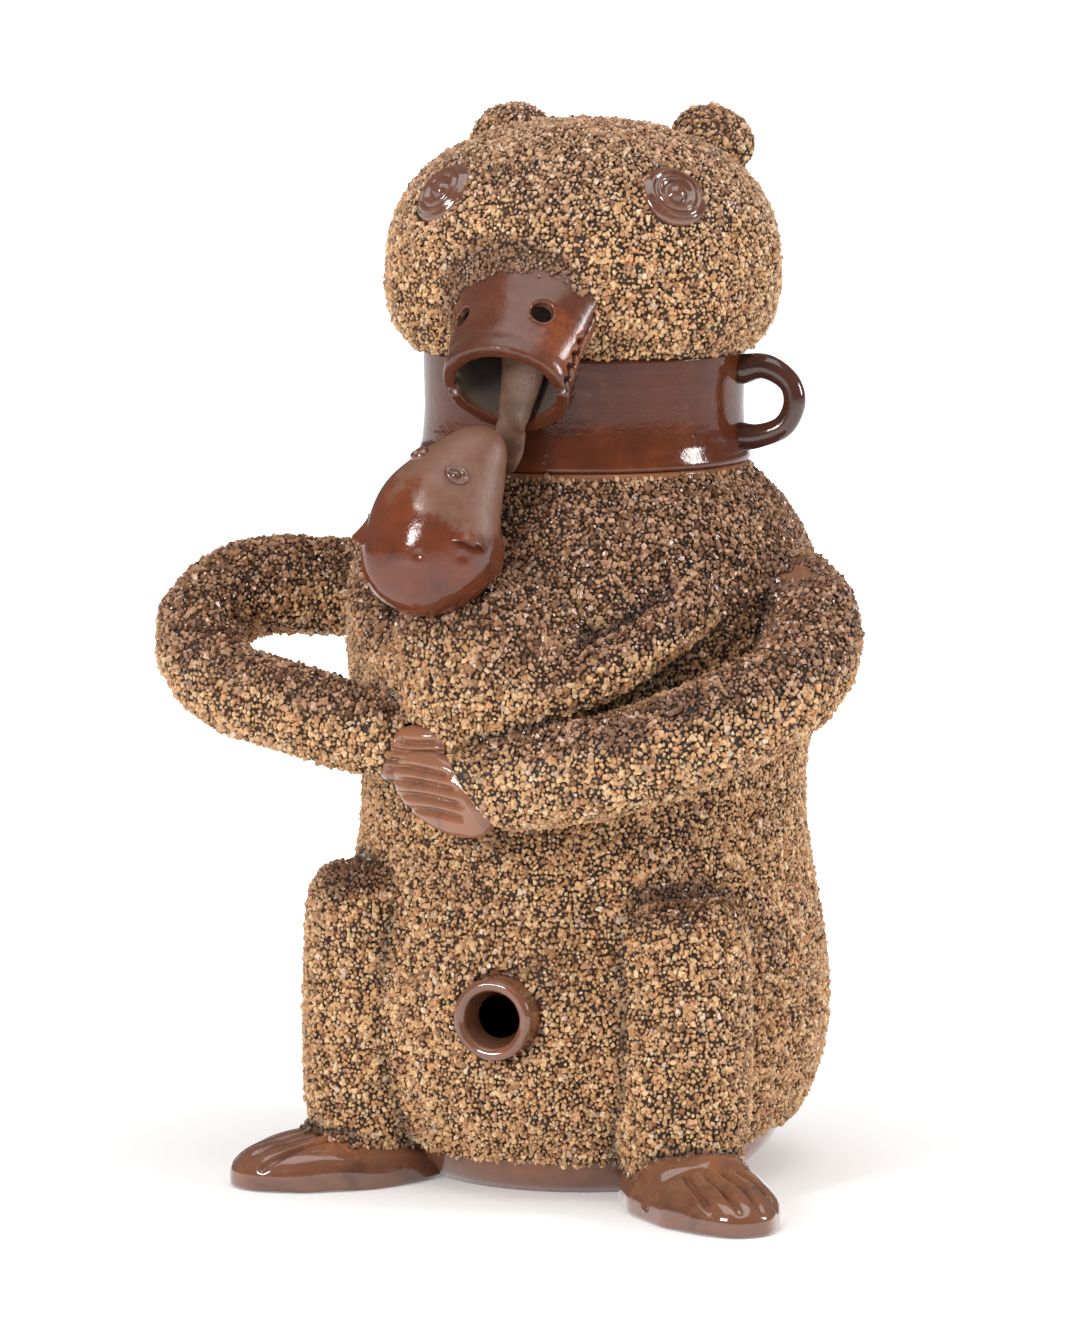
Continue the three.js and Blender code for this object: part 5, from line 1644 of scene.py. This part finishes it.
def coat_regions(bm, regions, body, default, spacings):
    skin = bpy.data.meshes.new("skin")
    bm.to_mesh(skin)
    total = 0
    for index, region in enumerate(regions):
        spacing, size = spacings.get(region, default)
        mesh = coat(skin, index, spacing, size)
        mesh.name = f"crumbs_{region}"
        mesh.materials.clear()
        mesh.materials.append(crumbs)
        mesh.shade_flat()
        made = linked(bpy.data.objects.new(mesh.name, mesh))
        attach(made, body)
        total += len(mesh.polygons)
        print(f"{made.name}: {len(mesh.polygons)} faces")
    bpy.data.meshes.remove(skin)
    return total


ON_JUG, ON_HEAD, COARSE = (0.00131, 1.08), (0.00129, 1.06), (0.00142, 1.18)
COARSE_REGIONS = ["right_arm", "left_arm", "dog_body", "dog_left_leg", "dog_right_leg"]
crumb_faces = coat_regions(jug_skin, JUG_REGIONS, "jug", ON_JUG, dict.fromkeys(COARSE_REGIONS, COARSE))
crumb_faces += coat_regions(head_skin, HEAD_REGIONS, "head_cover", ON_HEAD, {})
print("crumb faces:", crumb_faces)

# %% [markdown]
# ## The slip coat
# The skins themselves stay as the layer of slip that the crumbs sit in. Little of them shows, so half
# of their faces are enough. Each gets a wall inwards with a Solidify modifier, so that it is a closed
# shell.

# %% Slip coats
SLIP_THICKNESS = 0.0012
SLIP_DETAIL = 0.5


def slip_coat(name, bm, body, finish):
    thinned = modified(bm, "DECIMATE", ratio=SLIP_DETAIL)
    made = finish_piece(name, thinned, finish, body, metres=True)
    wall = made.modifiers.new("wall", "SOLIDIFY")
    wall.thickness = SLIP_THICKNESS
    wall.offset = -1
    return made


slip_coat("slip_coat_body", jug_skin, "jug", slip)
slip_coat("slip_coat_head", head_skin, "head_cover", pale_slip)

# %% [markdown]
# ## Finishes of the plain solids
# Solids that keep their CAD shape lie under the coat, so they take the slip. The left arm has a patch
# of glaze on it as well, because the crumbs leave a bare spot near its root.

# %% Materials for the CAD nodes
for name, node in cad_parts.items():
    finish = patch_glaze if name == "left_arm" else slip
    node.data.materials.clear()
    node.data.materials.append(finish)
print(len(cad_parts), "nodes have their finish")

# %% [markdown]
# ## Studio
# The jug stands on white paper under two soft boxes, one left of the camera and one far round to the
# right, with a broad soft light above. The paper is white to the camera, and still takes the shadow.

# %% Floor, world and lamps


def paper_material():
    """White paper that keeps the shadow near the jug, and is plain white to the camera further out."""
    material, tree, surface = new_material("paper")
    surface.inputs["Base Color"].default_value = (0.86, 0.86, 0.86, 1)
    surface.inputs["Roughness"].default_value = 0.9
    surface.inputs["Specular IOR Level"].default_value = 0.0
    surface.inputs["Emission Color"].default_value = (1, 1, 1, 1)
    ray = add(tree, "ShaderNodeLightPath")
    seen = plus(tree, ray.outputs["Is Camera Ray"], ray.outputs["Is Transmission Ray"])
    lift = ranged(tree, vector_maths(tree, "LENGTH", object_place(tree)), 0.2, 0.9, 0.18, 1.0)
    mirrored = times(tree, ray.outputs["Is Glossy Ray"], 0.45)
    glow = maths(tree, "MAXIMUM", times(tree, seen, lift), mirrored)
    tree.links.new(glow, surface.inputs["Emission Strength"])
    return material


bm = bmesh.new()
bmesh.ops.create_grid(bm, x_segments=1, y_segments=1, size=20.0)
floor = new_object("floor", bm)
floor.data.materials.append(paper_material())

world = bpy.data.worlds.new("studio")
bpy.context.scene.world = world
world.use_nodes = True
sky = world.node_tree
ray = add(sky, "ShaderNodeLightPath")
seen = maths(sky, "MAXIMUM", ray.outputs["Is Camera Ray"], ray.outputs["Is Transmission Ray"])
inputs = {"Value": ray.outputs["Is Glossy Ray"], "To Min": 0.58, "To Max": 0.14}
unseen = add(sky, "ShaderNodeMapRange", inputs).outputs[0]
strength = mixed_number(sky, seen, unseen, 1.0)
sky.links.new(strength, sky.nodes["Background"].inputs["Strength"])
sky.nodes["Background"].inputs["Color"].default_value = (1, 1, 1, 1)


def soft_box(name, place, target, wide, high, watts):
    lamp = bpy.data.lights.new(name, "AREA")
    lamp.shape = "RECTANGLE"
    lamp.size, lamp.size_y = wide, high
    lamp.energy = watts
    made = linked(bpy.data.objects.new(name, lamp))
    made.matrix_world = aimed(place, target)


middle = Vector((0, 0, 0.22))
soft_box("key", around(-18, 1.7, 0.80), middle, 0.40, 0.50, 16)
soft_box("side", around(104, 1.6, 0.75), middle, 0.40, 0.50, 13)
soft_box("top", Vector((0.1, -0.3, 2.0)), middle, 1.8, 1.4, 18)
bpy.context.scene.view_settings.view_transform = "Standard"
